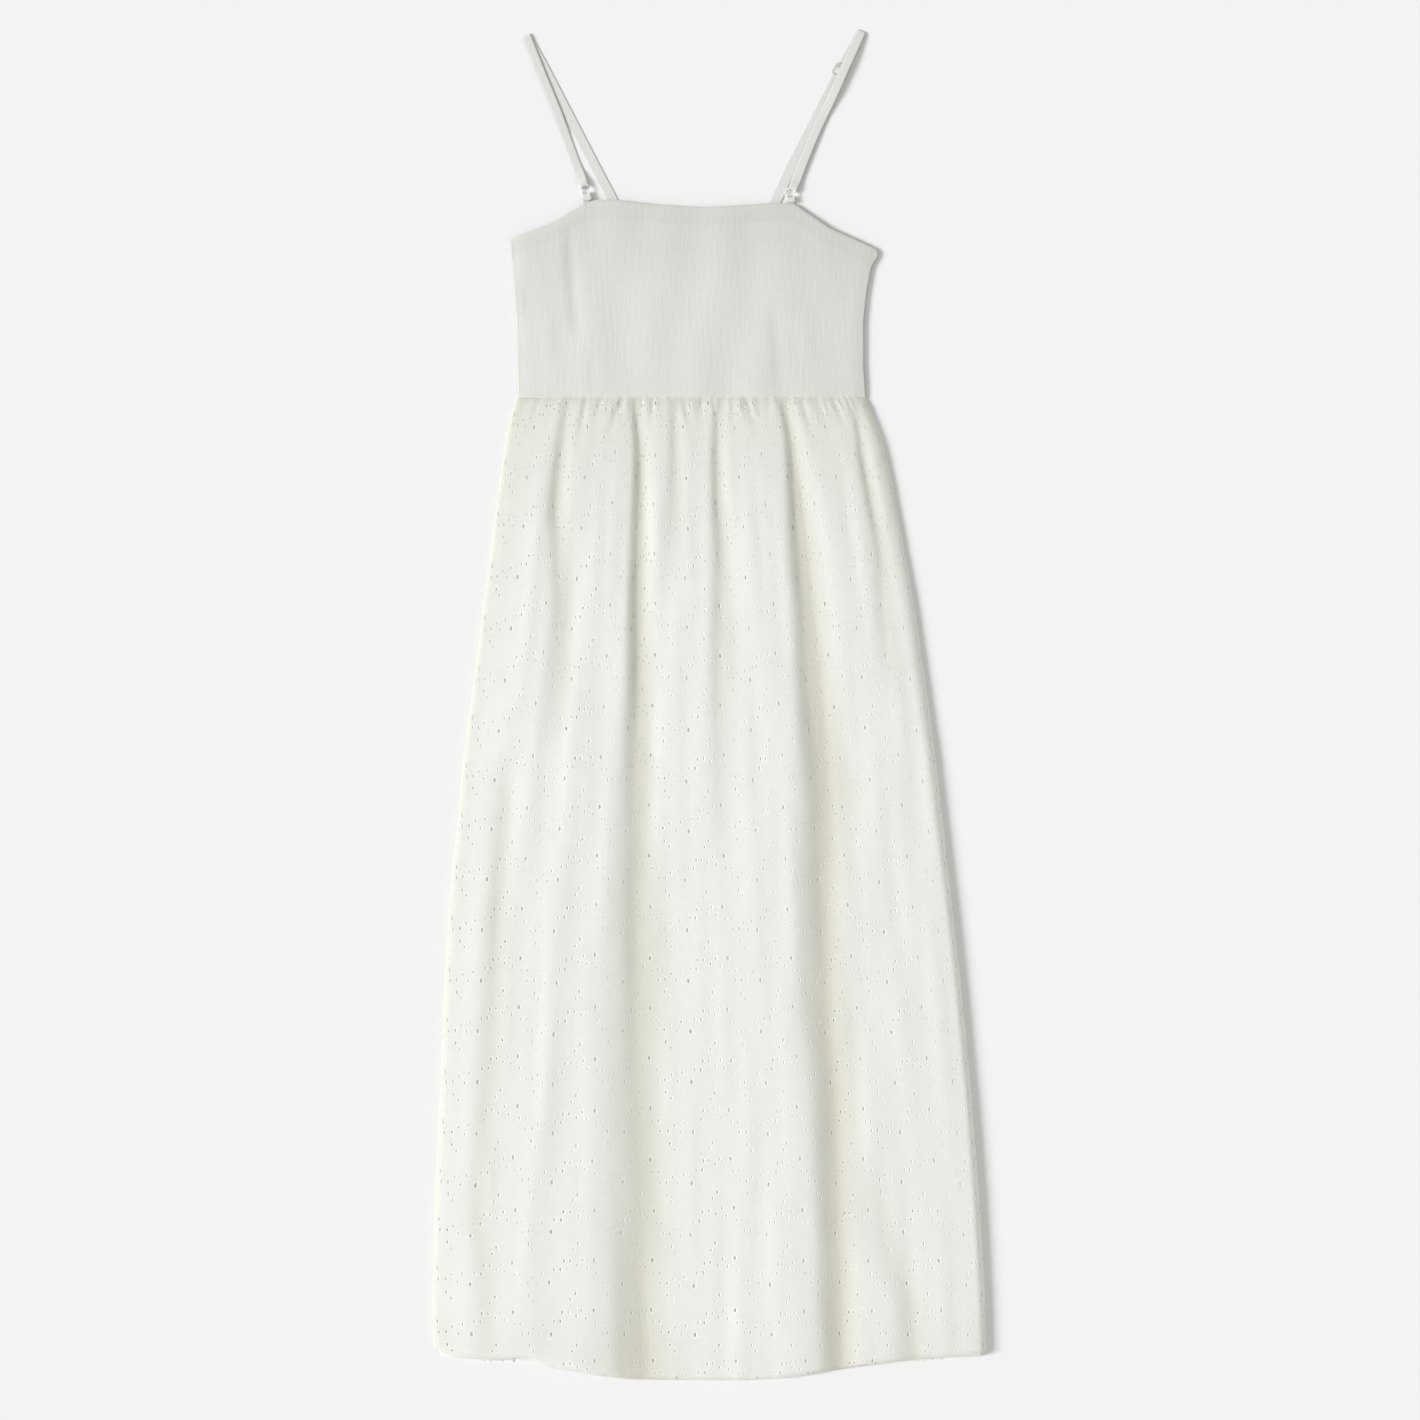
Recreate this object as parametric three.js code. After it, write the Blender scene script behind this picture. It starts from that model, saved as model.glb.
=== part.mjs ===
import * as THREE from 'three';

// A strappy cotton dress laid flat with its front up. Millimetres: +X to the right of the
// front, +Y towards the straps, +Z up off the surface that the dress lies on.
const waistY = 282.9;           // seam between bodice and skirt
const seamGap = 0.3;            // clearance between neighbouring pieces
const plate = 1.6;              // wall of the back panels, flat on the surface
const rest = plate + seamGap;   // lowest inside face of the front panels
const wallInFold = 1.2;         // skirt front wall at the bottom of a fold
const wallOnRidge = 2.6;        // skirt front wall on the highest ridge
const ridgeRise = 4.0;          // how far the highest ridge lifts clear of the back panel
const relief = ridgeRise + wallOnRidge - wallInFold;

// Broderie: the large eyelet of each half of the garland repeat is cut through here.
const repeatDown = 46.37;       // height of one repeat
const eyeletWide = 5.4;
const eyeletTall = 8.0;
const eyeletCell = 9.6;         // width of the strip of cloth that carries a column of eyelets
const firstRowDown = 62.3;      // cloth above this is drawn up in the gathers
const rowCount = 18;            // rows of the repeat below that
const upperEyelet = 11.0;       // below the top of its row
const lowerEyelet = 11.0;       // above the bottom of its row

const skirtSides = [
  { down: 0.0, left: -178.5, right: 143.5 },
  { down: 11.5, left: -182.3, right: 148.1 },
  { down: 25.3, left: -185.4, right: 153.6 },
  { down: 43.7, left: -188.8, right: 160.0 },
  { down: 71.3, left: -193.0, right: 166.4 },
  { down: 103.5, left: -197.5, right: 172.3 },
  { down: 140.3, left: -201.9, right: 178.9 },
  { down: 186.3, left: -208.4, right: 187.2 },
  { down: 232.3, left: -213.9, right: 193.9 },
  { down: 278.3, left: -220.3, right: 200.6 },
  { down: 333.5, left: -227.5, right: 208.0 },
  { down: 388.7, left: -232.3, right: 213.9 },
  { down: 462.3, left: -240.6, right: 222.2 },
  { down: 554.3, left: -245.2, right: 232.3 },
  { down: 646.3, left: -248.9, right: 240.9 },
  { down: 738.3, left: -253.5, right: 247.9 },
  { down: 830.3, left: -256.2, right: 253.0 },
  { down: 871.7, left: -254.4, right: 254.2 },
  { down: 910.0, left: -254.4, right: 254.4 },
];

// Lower edge, from the left seam (across 0) to the right one (across 1).
const frontHem = [
  { across: 0.000, down: 873.0 },
  { across: 0.011, down: 879.1 },
  { across: 0.038, down: 883.7 },
  { across: 0.110, down: 886.4 },
  { across: 0.148, down: 884.6 },
  { across: 0.170, down: 885.5 },
  { across: 0.208, down: 892.9 },
  { across: 0.253, down: 896.5 },
  { across: 0.295, down: 900.2 },
  { across: 0.356, down: 903.9 },
  { across: 0.553, down: 904.8 },
  { across: 0.647, down: 902.1 },
  { across: 0.723, down: 895.6 },
  { across: 0.781, down: 891.0 },
  { across: 0.855, down: 886.4 },
  { across: 0.924, down: 883.7 },
  { across: 0.993, down: 881.8 },
  { across: 1.000, down: 877.2 },
];
const backHem = [
  { across: 0.000, down: 874.0 },
  { across: 0.020, down: 884.0 },
  { across: 0.100, down: 888.0 },
  { across: 0.500, down: 890.5 },
  { across: 0.860, down: 888.5 },
  { across: 0.990, down: 882.5 },
  { across: 1.000, down: 876.0 },
];

// Where the cut cloth lies across the skirt: cloth is millimetres along the flat cut.
const clothAcross = [
  { cloth: 0, across: 0 },
  { cloth: 36.0, across: 0.070 },
  { cloth: 73.4, across: 0.147 },
  { cloth: 113.2, across: 0.212 },
  { cloth: 150.6, across: 0.295 },
  { cloth: 190.4, across: 0.345 },
  { cloth: 227.8, across: 0.395 },
  { cloth: 267.6, across: 0.473 },
  { cloth: 305.0, across: 0.548 },
  { cloth: 344.8, across: 0.612 },
  { cloth: 382.2, across: 0.673 },
  { cloth: 422.0, across: 0.735 },
  { cloth: 459.4, across: 0.793 },
  { cloth: 499.2, across: 0.858 },
  { cloth: 536.6, across: 0.922 },
  { cloth: 576.4, across: 0.966 },
  { cloth: 604.0, across: 1 },
];

// How much of the full relief the cloth stands up to, from the waist down.
const loft = [
  { down: 0, part: 0.52 },
  { down: 40, part: 0.64 },
  { down: 150, part: 0.74 },
  { down: 400, part: 0.86 },
  { down: 700, part: 1.0 },
  { down: 910, part: 1.0 },
];

// Long folds: trough depth and half width in millimetres along each one.
const folds = [
  { name: 'left high', at: [
    { down: 0, across: 0.151, deep: 3, half: 5 },
    { down: 25, across: 0.149, deep: 3, half: 5 },
    { down: 57, across: 0.148, deep: 3, half: 6 },
    { down: 94, across: 0.147, deep: 2.8, half: 7 },
    { down: 140, across: 0.163, deep: 2.3, half: 8 },
    { down: 186, across: 0.180, deep: 1.9, half: 9 },
    { down: 278, across: 0.187, deep: 1.2, half: 10 },
    { down: 335, across: 0.187, deep: 0, half: 10 },
  ] },
  { name: 'left low', at: [
    { down: 318, across: 0.080, deep: 0, half: 10 },
    { down: 370, across: 0.084, deep: 1.3, half: 10 },
    { down: 462, across: 0.095, deep: 2, half: 10 },
    { down: 554, across: 0.098, deep: 2.2, half: 10 },
    { down: 646, across: 0.092, deep: 2.3, half: 9 },
    { down: 738, across: 0.083, deep: 2, half: 10 },
    { down: 830, across: 0.100, deep: 1.4, half: 10 },
    { down: 910, across: 0.100, deep: 1, half: 10 },
  ] },
  { name: 'left centre', at: [
    { down: 0, across: 0.341, deep: 4.6, half: 5 },
    { down: 25, across: 0.350, deep: 4.6, half: 5 },
    { down: 57, across: 0.356, deep: 4.5, half: 5.5 },
    { down: 116, across: 0.356, deep: 4.4, half: 6 },
    { down: 186, across: 0.358, deep: 4.2, half: 8 },
    { down: 278, across: 0.368, deep: 3.8, half: 9 },
    { down: 370, across: 0.368, deep: 3.4, half: 12 },
    { down: 462, across: 0.373, deep: 3.1, half: 16 },
    { down: 554, across: 0.374, deep: 3, half: 19 },
    { down: 646, across: 0.371, deep: 3, half: 19 },
    { down: 738, across: 0.380, deep: 3.2, half: 18 },
    { down: 830, across: 0.375, deep: 3.6, half: 15 },
    { down: 910, across: 0.375, deep: 4, half: 13 },
  ] },
  { name: 'centre short', at: [
    { down: 0, across: 0.452, deep: 2.4, half: 4 },
    { down: 45, across: 0.447, deep: 2.1, half: 5.5 },
    { down: 94, across: 0.446, deep: 1.5, half: 7 },
    { down: 150, across: 0.441, deep: 0.6, half: 8 },
    { down: 200, across: 0.440, deep: 0, half: 8 },
  ] },
  { name: 'centre', at: [
    { down: 0, across: 0.582, deep: 3, half: 4 },
    { down: 31, across: 0.562, deep: 3, half: 5 },
    { down: 57, across: 0.555, deep: 3, half: 5.5 },
    { down: 96, across: 0.553, deep: 2.8, half: 6 },
    { down: 140, across: 0.558, deep: 2.5, half: 7 },
    { down: 196, across: 0.552, deep: 2.2, half: 8 },
    { down: 278, across: 0.545, deep: 1.2, half: 10 },
    { down: 370, across: 0.545, deep: 0.5, half: 10 },
    { down: 430, across: 0.545, deep: 0, half: 10 },
  ] },
  { name: 'right centre', at: [
    { down: 0, across: 0.760, deep: 4.8, half: 5 },
    { down: 25, across: 0.760, deep: 4.9, half: 5.5 },
    { down: 57, across: 0.753, deep: 5, half: 6 },
    { down: 94, across: 0.750, deep: 5, half: 7 },
    { down: 140, across: 0.748, deep: 5, half: 8 },
    { down: 186, across: 0.750, deep: 5, half: 9 },
    { down: 278, across: 0.750, deep: 4.9, half: 11 },
    { down: 370, across: 0.757, deep: 4.6, half: 12 },
    { down: 462, across: 0.743, deep: 4.6, half: 13 },
    { down: 554, across: 0.731, deep: 4.8, half: 13 },
    { down: 646, across: 0.742, deep: 5, half: 13 },
    { down: 738, across: 0.738, deep: 5, half: 13 },
    { down: 830, across: 0.735, deep: 5, half: 13 },
    { down: 910, across: 0.735, deep: 5, half: 12 },
  ] },
  { name: 'right', at: [
    { down: 0, across: 0.961, deep: 2.6, half: 4 },
    { down: 55, across: 0.934, deep: 3, half: 5 },
    { down: 137, across: 0.941, deep: 2.4, half: 6 },
    { down: 204, across: 0.927, deep: 2.2, half: 7 },
    { down: 250, across: 0.930, deep: 1.2, half: 8 },
    { down: 300, across: 0.931, deep: 0, half: 8 },
  ] },
  { name: 'right hem', at: [
    { down: 674, across: 0.800, deep: 0, half: 14 },
    { down: 720, across: 0.809, deep: 1.2, half: 14 },
    { down: 784, across: 0.832, deep: 1.6, half: 12 },
    { down: 830, across: 0.865, deep: 1.9, half: 11 },
    { down: 910, across: 0.871, deep: 2.3, half: 10 },
  ] },
  { name: 'left ridge', at: [
    { down: 220, across: 0.240, deep: 0, half: 9 },
    { down: 278, across: 0.227, deep: -0.7, half: 9 },
    { down: 462, across: 0.211, deep: -0.9, half: 9 },
    { down: 646, across: 0.193, deep: -1, half: 9 },
    { down: 840, across: 0.156, deep: -1, half: 9 },
    { down: 910, across: 0.150, deep: -0.8, half: 9 },
  ] },
];

// Gathers at the waist seam, left to right: depth at the seam and how far each runs down.
const gathers = [
  { deep: 1.3, long: 30 }, { deep: 1.8, long: 44 }, { deep: 1.1, long: 24 },
  { deep: 2.0, long: 60 }, { deep: 1.4, long: 34 }, { deep: 2.2, long: 70 },
  { deep: 1.2, long: 26 }, { deep: 1.7, long: 46 }, { deep: 1.9, long: 56 },
  { deep: 1.1, long: 28 }, { deep: 2.1, long: 52 }, { deep: 1.5, long: 38 },
  { deep: 1.2, long: 30 }, { deep: 2.0, long: 42 }, { deep: 1.6, long: 32 },
  { deep: 1.8, long: 40 }, { deep: 1.2, long: 28 },
];

// Upper edge of the bodice front, left to right.
const bodiceTop = [
  { x: -184.5, y: 426.9 },
  { x: -182.6, y: 429.6 },
  { x: -176.2, y: 432.4 },
  { x: -144.0, y: 444.4 },
  { x: -131.1, y: 452.6 },
  { x: -116.4, y: 460.9 },
  { x: -106.3, y: 465.1 },
  { x: -85.1, y: 464.6 },
  { x: -53.8, y: 460.9 },
  { x: -10.6, y: 458.2 },
  { x: 13.3, y: 459.1 },
  { x: 50.1, y: 461.8 },
  { x: 76.8, y: 461.4 },
  { x: 84.2, y: 456.3 },
  { x: 109.9, y: 438.8 },
  { x: 153.2, y: 419.5 },
  { x: 155.9, y: 414.9 },
];
const bodiceSides = [
  { y: 426.9, left: -184.5, right: 155.9 },
  { y: 414.0, left: -183.5, right: 155.0 },
  { y: 403.9, left: -182.6, right: 148.6 },
  { y: 380.0, left: -180.8, right: 144.0 },
  { y: 353.3, left: -178.9, right: 141.2 },
  { y: 314.6, left: -178.0, right: 141.2 },
  { y: 283.0, left: -177.1, right: 143.1 },
];
const bodiceBackTop = [  // straight upper edge of the bodice back, its ends under the front's slopes
  { y: 428.7, left: -181.9, right: 129.4 },
  { y: 420.0, left: -183.8, right: 149.0 },
  { y: 414.0, left: -183.5, right: 154.2 },
];
const topHem = 15.2;            // depth of the turned upper hem
const ribCount = 86;            // crinkle ribs drawn up by the elastic rows
const ribHigh = 0.8;
const bodiceWall = 1.5;
const bodiceFolds = [
  { x: -128.0, deep: 0.9, half: 3.0, from: 447, to: 330 },
  { x: -108.5, deep: 0.7, half: 3.0, from: 320, to: 284 },
  { x: 60.0, deep: 0.8, half: 3.5, from: 380, to: 284 },
  { x: -170.0, deep: 0.8, half: 3.5, from: 408, to: 344 },
  { x: 86.0, deep: -0.5, half: 5.0, from: 372, to: 300 },
  { x: -150.0, deep: -0.5, half: 5.0, from: 372, to: 300 },
];

const strapWide = 8.4;
const strapThick = 0.8;
const ringWire = 0.7;           // radius of the wire
const ringMid = 5.3;            // radius of the ring's centre line
const ringZ = 2.15;
const tabWide = 8.0;
const bunched = 6.0;            // width of strap and tab where they pass through the ring
const sliderWide = 12.4;
const sliderLong = 11.8;
const sliderBar = 1.6;
const sliderZ = 1.1;            // underside of the slider, on the strap below it
const sliderThick = 0.8;

// Routes of the two straps over the surface, as seen from above, from the shoulder down.
// Clear of the back limb, the front limb settles to another height before its ring.
const straps = [
  { side: 'left', ring: { x: -114.8, y: 474.2 }, slider: null, tabFoot: { x: -112.0, y: 452.5 }, tabReach: 4.9,
    settle: { from: 541, run: 24, z: 0.45 },
    front: [
      { x: -170.3, y: 617.9 }, { x: -155.9, y: 581.4 }, { x: -140.3, y: 543.7 },
      { x: -127.4, y: 507.8 }, { x: -117.6, y: 481.0 },
    ],
    back: [
      { x: -170.3, y: 617.9 }, { x: -156.9, y: 594.3 }, { x: -109.0, y: 501.4 },
      { x: -90.6, y: 466.4 }, { x: -72.3, y: 431.2 },
    ] },
  { side: 'right', ring: { x: 74.1, y: 471.0 }, slider: 0.2, tabFoot: { x: 73.0, y: 449.5 }, tabReach: 3.1,
    settle: { from: 545, run: 30, z: 2.1 },
    front: [
      { x: 139.7, y: 621.7 }, { x: 125.6, y: 590.6 }, { x: 111.8, y: 559.4 },
      { x: 97.1, y: 529.0 }, { x: 83.3, y: 495.0 }, { x: 77.2, y: 478.4 },
    ],
    back: [
      { x: 139.7, y: 621.7 }, { x: 111.5, y: 569.5 }, { x: 76.5, y: 500.5 },
      { x: 60.0, y: 463.7 }, { x: 44.6, y: 431.2 },
    ] },
];

const group = new THREE.Group();
group.name = 'broderie_dress';

function addNode(name, positions, triangles, look) {
  const geometry = new THREE.BufferGeometry();
  geometry.setAttribute('position', new THREE.Float32BufferAttribute(positions, 3));
  geometry.setIndex(triangles);
  geometry.computeVertexNormals();
  const mesh = new THREE.Mesh(geometry, new THREE.MeshStandardMaterial(look));
  mesh.name = name;
  group.add(mesh);
}

// Straight-line reading of a table: the value of one column at a place along another.
function read(rows, key, at, column) {
  if (at <= rows[0][key]) return rows[0][column];
  for (let i = 1; i < rows.length; i += 1) {
    if (at <= rows[i][key]) {
      const a = rows[i - 1];
      const b = rows[i];
      return a[column] + (b[column] - a[column]) * (at - a[key]) / (b[key] - a[key]);
    }
  }
  return rows[rows.length - 1][column];
}

const smooth = (t) => {
  const c = Math.min(1, Math.max(0, t));
  return c * c * (3 - 2 * c);
};

// A wall built on a grid of columns and rows, with eyelets left open in some cells.
// hole(i, j) gives null or the eyelet's place and half sizes inside the cell, each 0 to 1.
function wall(columns, rows, outer, inner, hole) {
  const top = [];
  const low = [];
  for (let j = 0; j <= rows; j += 1) {
    for (let i = 0; i <= columns; i += 1) {
      top.push(outer(i, j));
      low.push(inner(i, j));
    }
  }
  const at = (i, j) => j * (columns + 1) + i;
  const upFaces = [];
  const rims = [];
  const within = (list, i, j, fu, fv) => {
    const mix = (a, b, t) => a.map((v, k) => v + (b[k] - v) * t);
    const upper = mix(list[at(i, j)], list[at(i + 1, j)], fu);
    const lower = mix(list[at(i, j + 1)], list[at(i + 1, j + 1)], fu);
    return mix(upper, lower, fv);
  };
  for (let j = 0; j < rows; j += 1) {
    for (let i = 0; i < columns; i += 1) {
      const ul = at(i, j);
      const ur = at(i + 1, j);
      const lr = at(i + 1, j + 1);
      const ll = at(i, j + 1);
      const open = hole ? hole(i, j) : null;
      if (!open) {
        upFaces.push([ul, ll, lr], [ul, lr, ur]);
        continue;
      }
      const first = top.length;
      const spots = [
        [open.u - open.hu, open.v], [open.u, open.v - open.hv],
        [open.u + open.hu, open.v], [open.u, open.v + open.hv],
      ];
      spots.forEach(([fu, fv]) => {
        top.push(within(top, i, j, fu, fv));
        low.push(within(low, i, j, fu, fv));
      });
      const [l, t, r, b] = [first, first + 1, first + 2, first + 3];
      upFaces.push([ul, ll, l], [ll, lr, b], [lr, ur, r], [ur, ul, t]);
      upFaces.push([ul, l, t], [ll, b, l], [lr, r, b], [ur, t, r]);
      rims.push([l, t], [t, r], [r, b], [b, l]);
    }
  }
  for (let j = 0; j < rows; j += 1) {
    rims.push([at(0, j), at(0, j + 1)], [at(columns, j + 1), at(columns, j)]);
  }
  for (let i = 0; i < columns; i += 1) {
    rims.push([at(i, rows), at(i + 1, rows)], [at(i + 1, 0), at(i, 0)]);
  }
  const n = top.length;
  const triangles = [];
  upFaces.forEach(([a, b, c]) => triangles.push(a, b, c, a + n, c + n, b + n));
  rims.forEach(([a, b]) => triangles.push(b, a, a + n, b, a + n, b + n));
  return { positions: top.concat(low).flat(), triangles };
}

// Skirt.

function foldRelief(across, down, width) {
  let sum = 0;
  folds.forEach((fold) => {
    const rows = fold.at;
    if (down < rows[0].down || down > rows[rows.length - 1].down) return;
    const place = read(rows, 'down', down, 'across');
    const half = read(rows, 'down', down, 'half');
    const off = (across - place) * width / half;
    sum += read(rows, 'down', down, 'deep') * Math.exp(-off * off);
  });
  return sum;
}

function skirtLift(across, down, fromLeft, fromRight, width, gather) {
  const left = smooth(fromLeft / 30);
  const turn = Math.min(1, fromRight / 5);
  const right = Math.sqrt(1 - (1 - turn) * (1 - turn));
  let lift = read(loft, 'down', down, 'part') * relief - foldRelief(across, down, width);
  if (gather) lift -= gather.deep * Math.exp(-((down / gather.long) ** 2));
  return Math.max(0, lift / relief) * Math.min(left, right);
}

const cloth = [0, 6, 16];
const eyeletColumns = clothAcross.slice(1, -1).map((row) => row.cloth);
eyeletColumns.forEach((middle, k) => {
  const start = middle - eyeletCell / 2;
  if (k > 0) {
    const before = eyeletColumns[k - 1] + eyeletCell / 2;
    cloth.push(before + (start - before) / 3, before + (start - before) * 2 / 3);
  }
  cloth.push(start, start + eyeletCell);
});
cloth.push(591, 599, 604);
const columnCount = cloth.length - 1;
const downs = [0, 4, 10, 20, 36];
for (let r = 0; r < rowCount; r += 1) downs.push(firstRowDown + repeatDown * r);
const skirtRows = downs.length;   // the last row ends at the hem

function skirtPlace(i, j) {
  const across = read(clothAcross, 'cloth', cloth[i], 'across');
  const hem = read(frontHem, 'across', across, 'down');
  const down = j < skirtRows ? Math.min(downs[j], hem) : hem;
  const left = read(skirtSides, 'down', down, 'left');
  const right = read(skirtSides, 'down', down, 'right');
  const gather = i % 2 ? gathers[((i - 1) / 2) % gathers.length] : null;
  return { across, down, left, width: right - left, gather };
}

function skirtOuter(i, j) {
  const p = skirtPlace(i, j);
  const x = p.left + p.across * p.width;
  const lift = skirtLift(p.across, p.down, p.across * p.width, (1 - p.across) * p.width,
    p.width, p.gather);
  return [x, waistY - p.down, rest + wallInFold + relief * lift];
}

// The inside keeps clear of the steep right side, so the wall holds its thickness there.
function skirtInner(i, j) {
  const p = skirtPlace(i, j);
  const inset = i > columnCount - 4 ? 1.6 * (i - columnCount + 4) / 4 : 0;
  const x = p.left + p.across * p.width - inset;
  const fromRight = Math.max(0, (1 - p.across) * p.width);
  const lift = skirtLift(p.across, p.down, p.across * p.width, fromRight, p.width, p.gather);
  return [x, waistY - p.down, rest + ridgeRise * lift];
}

function skirtEyelet(i, j) {
  const r = j - 5;
  const k = eyeletColumns.findIndex((middle) => Math.abs(cloth[i] + eyeletCell / 2 - middle) < 0.01);
  if (r < 0 || r >= rowCount || k < 0) return null;
  const upper = k % 2 === 0;
  const across = clothAcross[k + 1].across;
  const hem = read(frontHem, 'across', across, 'down');
  const start = downs[j];
  const end = j + 1 < skirtRows ? downs[j + 1] : hem;
  const centre = upper ? start + upperEyelet : start + repeatDown - lowerEyelet;
  if (centre + eyeletTall / 2 + 4 > hem) return null;
  return {
    u: 0.5, v: (centre - start) / (end - start),
    hu: eyeletWide / 2 / eyeletCell, hv: eyeletTall / 2 / (end - start),
  };
}

const cottonLook = { color: 0xf0f1ec, roughness: 0.92, metalness: 0 };
const skirtFront = wall(columnCount, skirtRows, skirtOuter, skirtInner, skirtEyelet);
addNode('skirt_front', skirtFront.positions, skirtFront.triangles, cottonLook);

const backColumns = 12;
const backDowns = [0, 11.5, 25.3, 43.7, 71.3, 140.3, 232.3, 333.5, 462.3, 646.3, 830.3];
function backPoint(z) {
  return (i, j) => {
    const across = [0, 0.02, 0.1, 0.2, 0.3, 0.4, 0.5, 0.6, 0.7, 0.86, 0.93, 0.99, 1][i];
    const hem = read(backHem, 'across', across, 'down');
    const down = j < backDowns.length ? backDowns[j] : hem;
    const left = read(skirtSides, 'down', down, 'left');
    const right = read(skirtSides, 'down', down, 'right');
    return [left + across * (right - left), waistY - down, z];
  };
}
const skirtBack = wall(backColumns, backDowns.length, backPoint(plate), backPoint(0));
addNode('skirt_back', skirtBack.positions, skirtBack.triangles,
  { color: 0xeceee8, roughness: 0.92, metalness: 0 });

// Bodice.

const bodiceBottomY = waistY + seamGap;
const bodiceColumns = ribCount * 2;
const bodiceSteps = [0, 0.45, 1];       // parts of the top hem
const shirrRows = 6;

function bodicePlace(i, j) {
  const across = i / bodiceColumns;
  const x0 = -184.5 + across * 340.4;
  const edge = read(bodiceTop, 'x', x0, 'y');
  let y;
  if (j < bodiceSteps.length) y = edge - topHem * bodiceSteps[j];
  else {
    const t = (j - bodiceSteps.length + 1) / shirrRows;
    y = (edge - topHem) * (1 - t) + bodiceBottomY * t;
  }
  const left = read([...bodiceSides].reverse(), 'y', y, 'left');
  const right = read([...bodiceSides].reverse(), 'y', y, 'right');
  return { x: left + across * (right - left), y, across, left, right };
}

function bodiceOuter(i, j) {
  const p = bodicePlace(i, j);
  const uneven = 0.7 + 0.3 * Math.sin(i * 1.7) * Math.sin(i * 0.43 + j);
  const band = j < bodiceSteps.length ? 0.55 : 1;
  const pinch = j % 2 ? 1 : 0.8;
  let z = rest + bodiceWall + (i % 2 ? 0 : ribHigh * uneven * band * pinch);
  if (j === bodiceSteps.length - 1) z -= 0.3;
  bodiceFolds.forEach((fold) => {
    if (p.y > fold.from || p.y < fold.to) return;
    const off = (p.x - fold.x) / fold.half;
    z -= fold.deep * Math.exp(-off * off) * 0.8;
  });
  const side = Math.min(p.x - p.left, p.right - p.x);
  z -= 0.4 * (1 - smooth(side / 6));
  return [p.x, p.y, Math.max(rest + 1.0, z)];
}

// Outer grid with every rib, and a plain flat inside.
function ribbedWall(columns, rows, outer, flatZ) {
  const positions = [];
  const triangles = [];
  const at = (i, j) => j * (columns + 1) + i;
  for (let j = 0; j <= rows; j += 1) {
    for (let i = 0; i <= columns; i += 1) positions.push(...outer(i, j));
  }
  const lowIndex = new Map();
  const low = (i, j) => {
    const key = at(i, j);
    if (!lowIndex.has(key)) {
      lowIndex.set(key, positions.length / 3);
      positions.push(positions[key * 3], positions[key * 3 + 1], flatZ);
    }
    return lowIndex.get(key);
  };
  const rim = (a, b) => {
    const [ta, tb] = [at(...a), at(...b)];
    const [la, lb] = [low(...a), low(...b)];
    triangles.push(tb, ta, la, tb, la, lb);
  };
  for (let j = 0; j < rows; j += 1) {
    for (let i = 0; i < columns; i += 1) {
      triangles.push(at(i, j), at(i, j + 1), at(i + 1, j + 1));
      triangles.push(at(i, j), at(i + 1, j + 1), at(i + 1, j));
    }
    rim([0, j], [0, j + 1]);
    rim([columns, j + 1], [columns, j]);
    triangles.push(low(1, 0), low(0, j + 1), low(0, j));
    triangles.push(low(columns - 1, 0), low(columns, j), low(columns, j + 1));
  }
  for (let i = 0; i < columns; i += 1) {
    rim([i, rows], [i + 1, rows]);
    rim([i + 1, 0], [i, 0]);
    if (i > 0 && i < columns - 1) {
      triangles.push(low(i, 0), low(i + 1, rows), low(i, rows));
      triangles.push(low(i, 0), low(i + 1, 0), low(i + 1, rows));
    }
  }
  triangles.push(low(1, 0), low(1, rows), low(0, rows));
  triangles.push(low(columns - 1, 0), low(columns, rows), low(columns - 1, rows));
  return { positions, triangles };
}

const bodiceRows = bodiceSteps.length - 1 + shirrRows;
const bodiceFront = ribbedWall(bodiceColumns, bodiceRows, bodiceOuter, rest);
addNode('bodice_front', bodiceFront.positions, bodiceFront.triangles,
  { color: 0xe9ebe6, roughness: 0.94, metalness: 0 });

function bodiceBackPoint(z) {
  return (i, j) => {
    const rows = [...bodiceBackTop.map((row) => row.y), 403.9, 380, 353.3, 314.6, bodiceBottomY];
    const y = rows[j];
    const top = bodiceBackTop[j];
    const left = top ? top.left : read([...bodiceSides].reverse(), 'y', y, 'left');
    const right = top ? top.right : read([...bodiceSides].reverse(), 'y', y, 'right');
    return [left + (right - left) * i / 4, y, z];
  };
}
const bodiceBack = wall(4, 7, bodiceBackPoint(plate), bodiceBackPoint(0));
addNode('bodice_back', bodiceBack.positions, bodiceBack.triangles,
  { color: 0xe6e8e3, roughness: 0.94, metalness: 0 });

// Straps, tabs, rings and slider.

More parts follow.
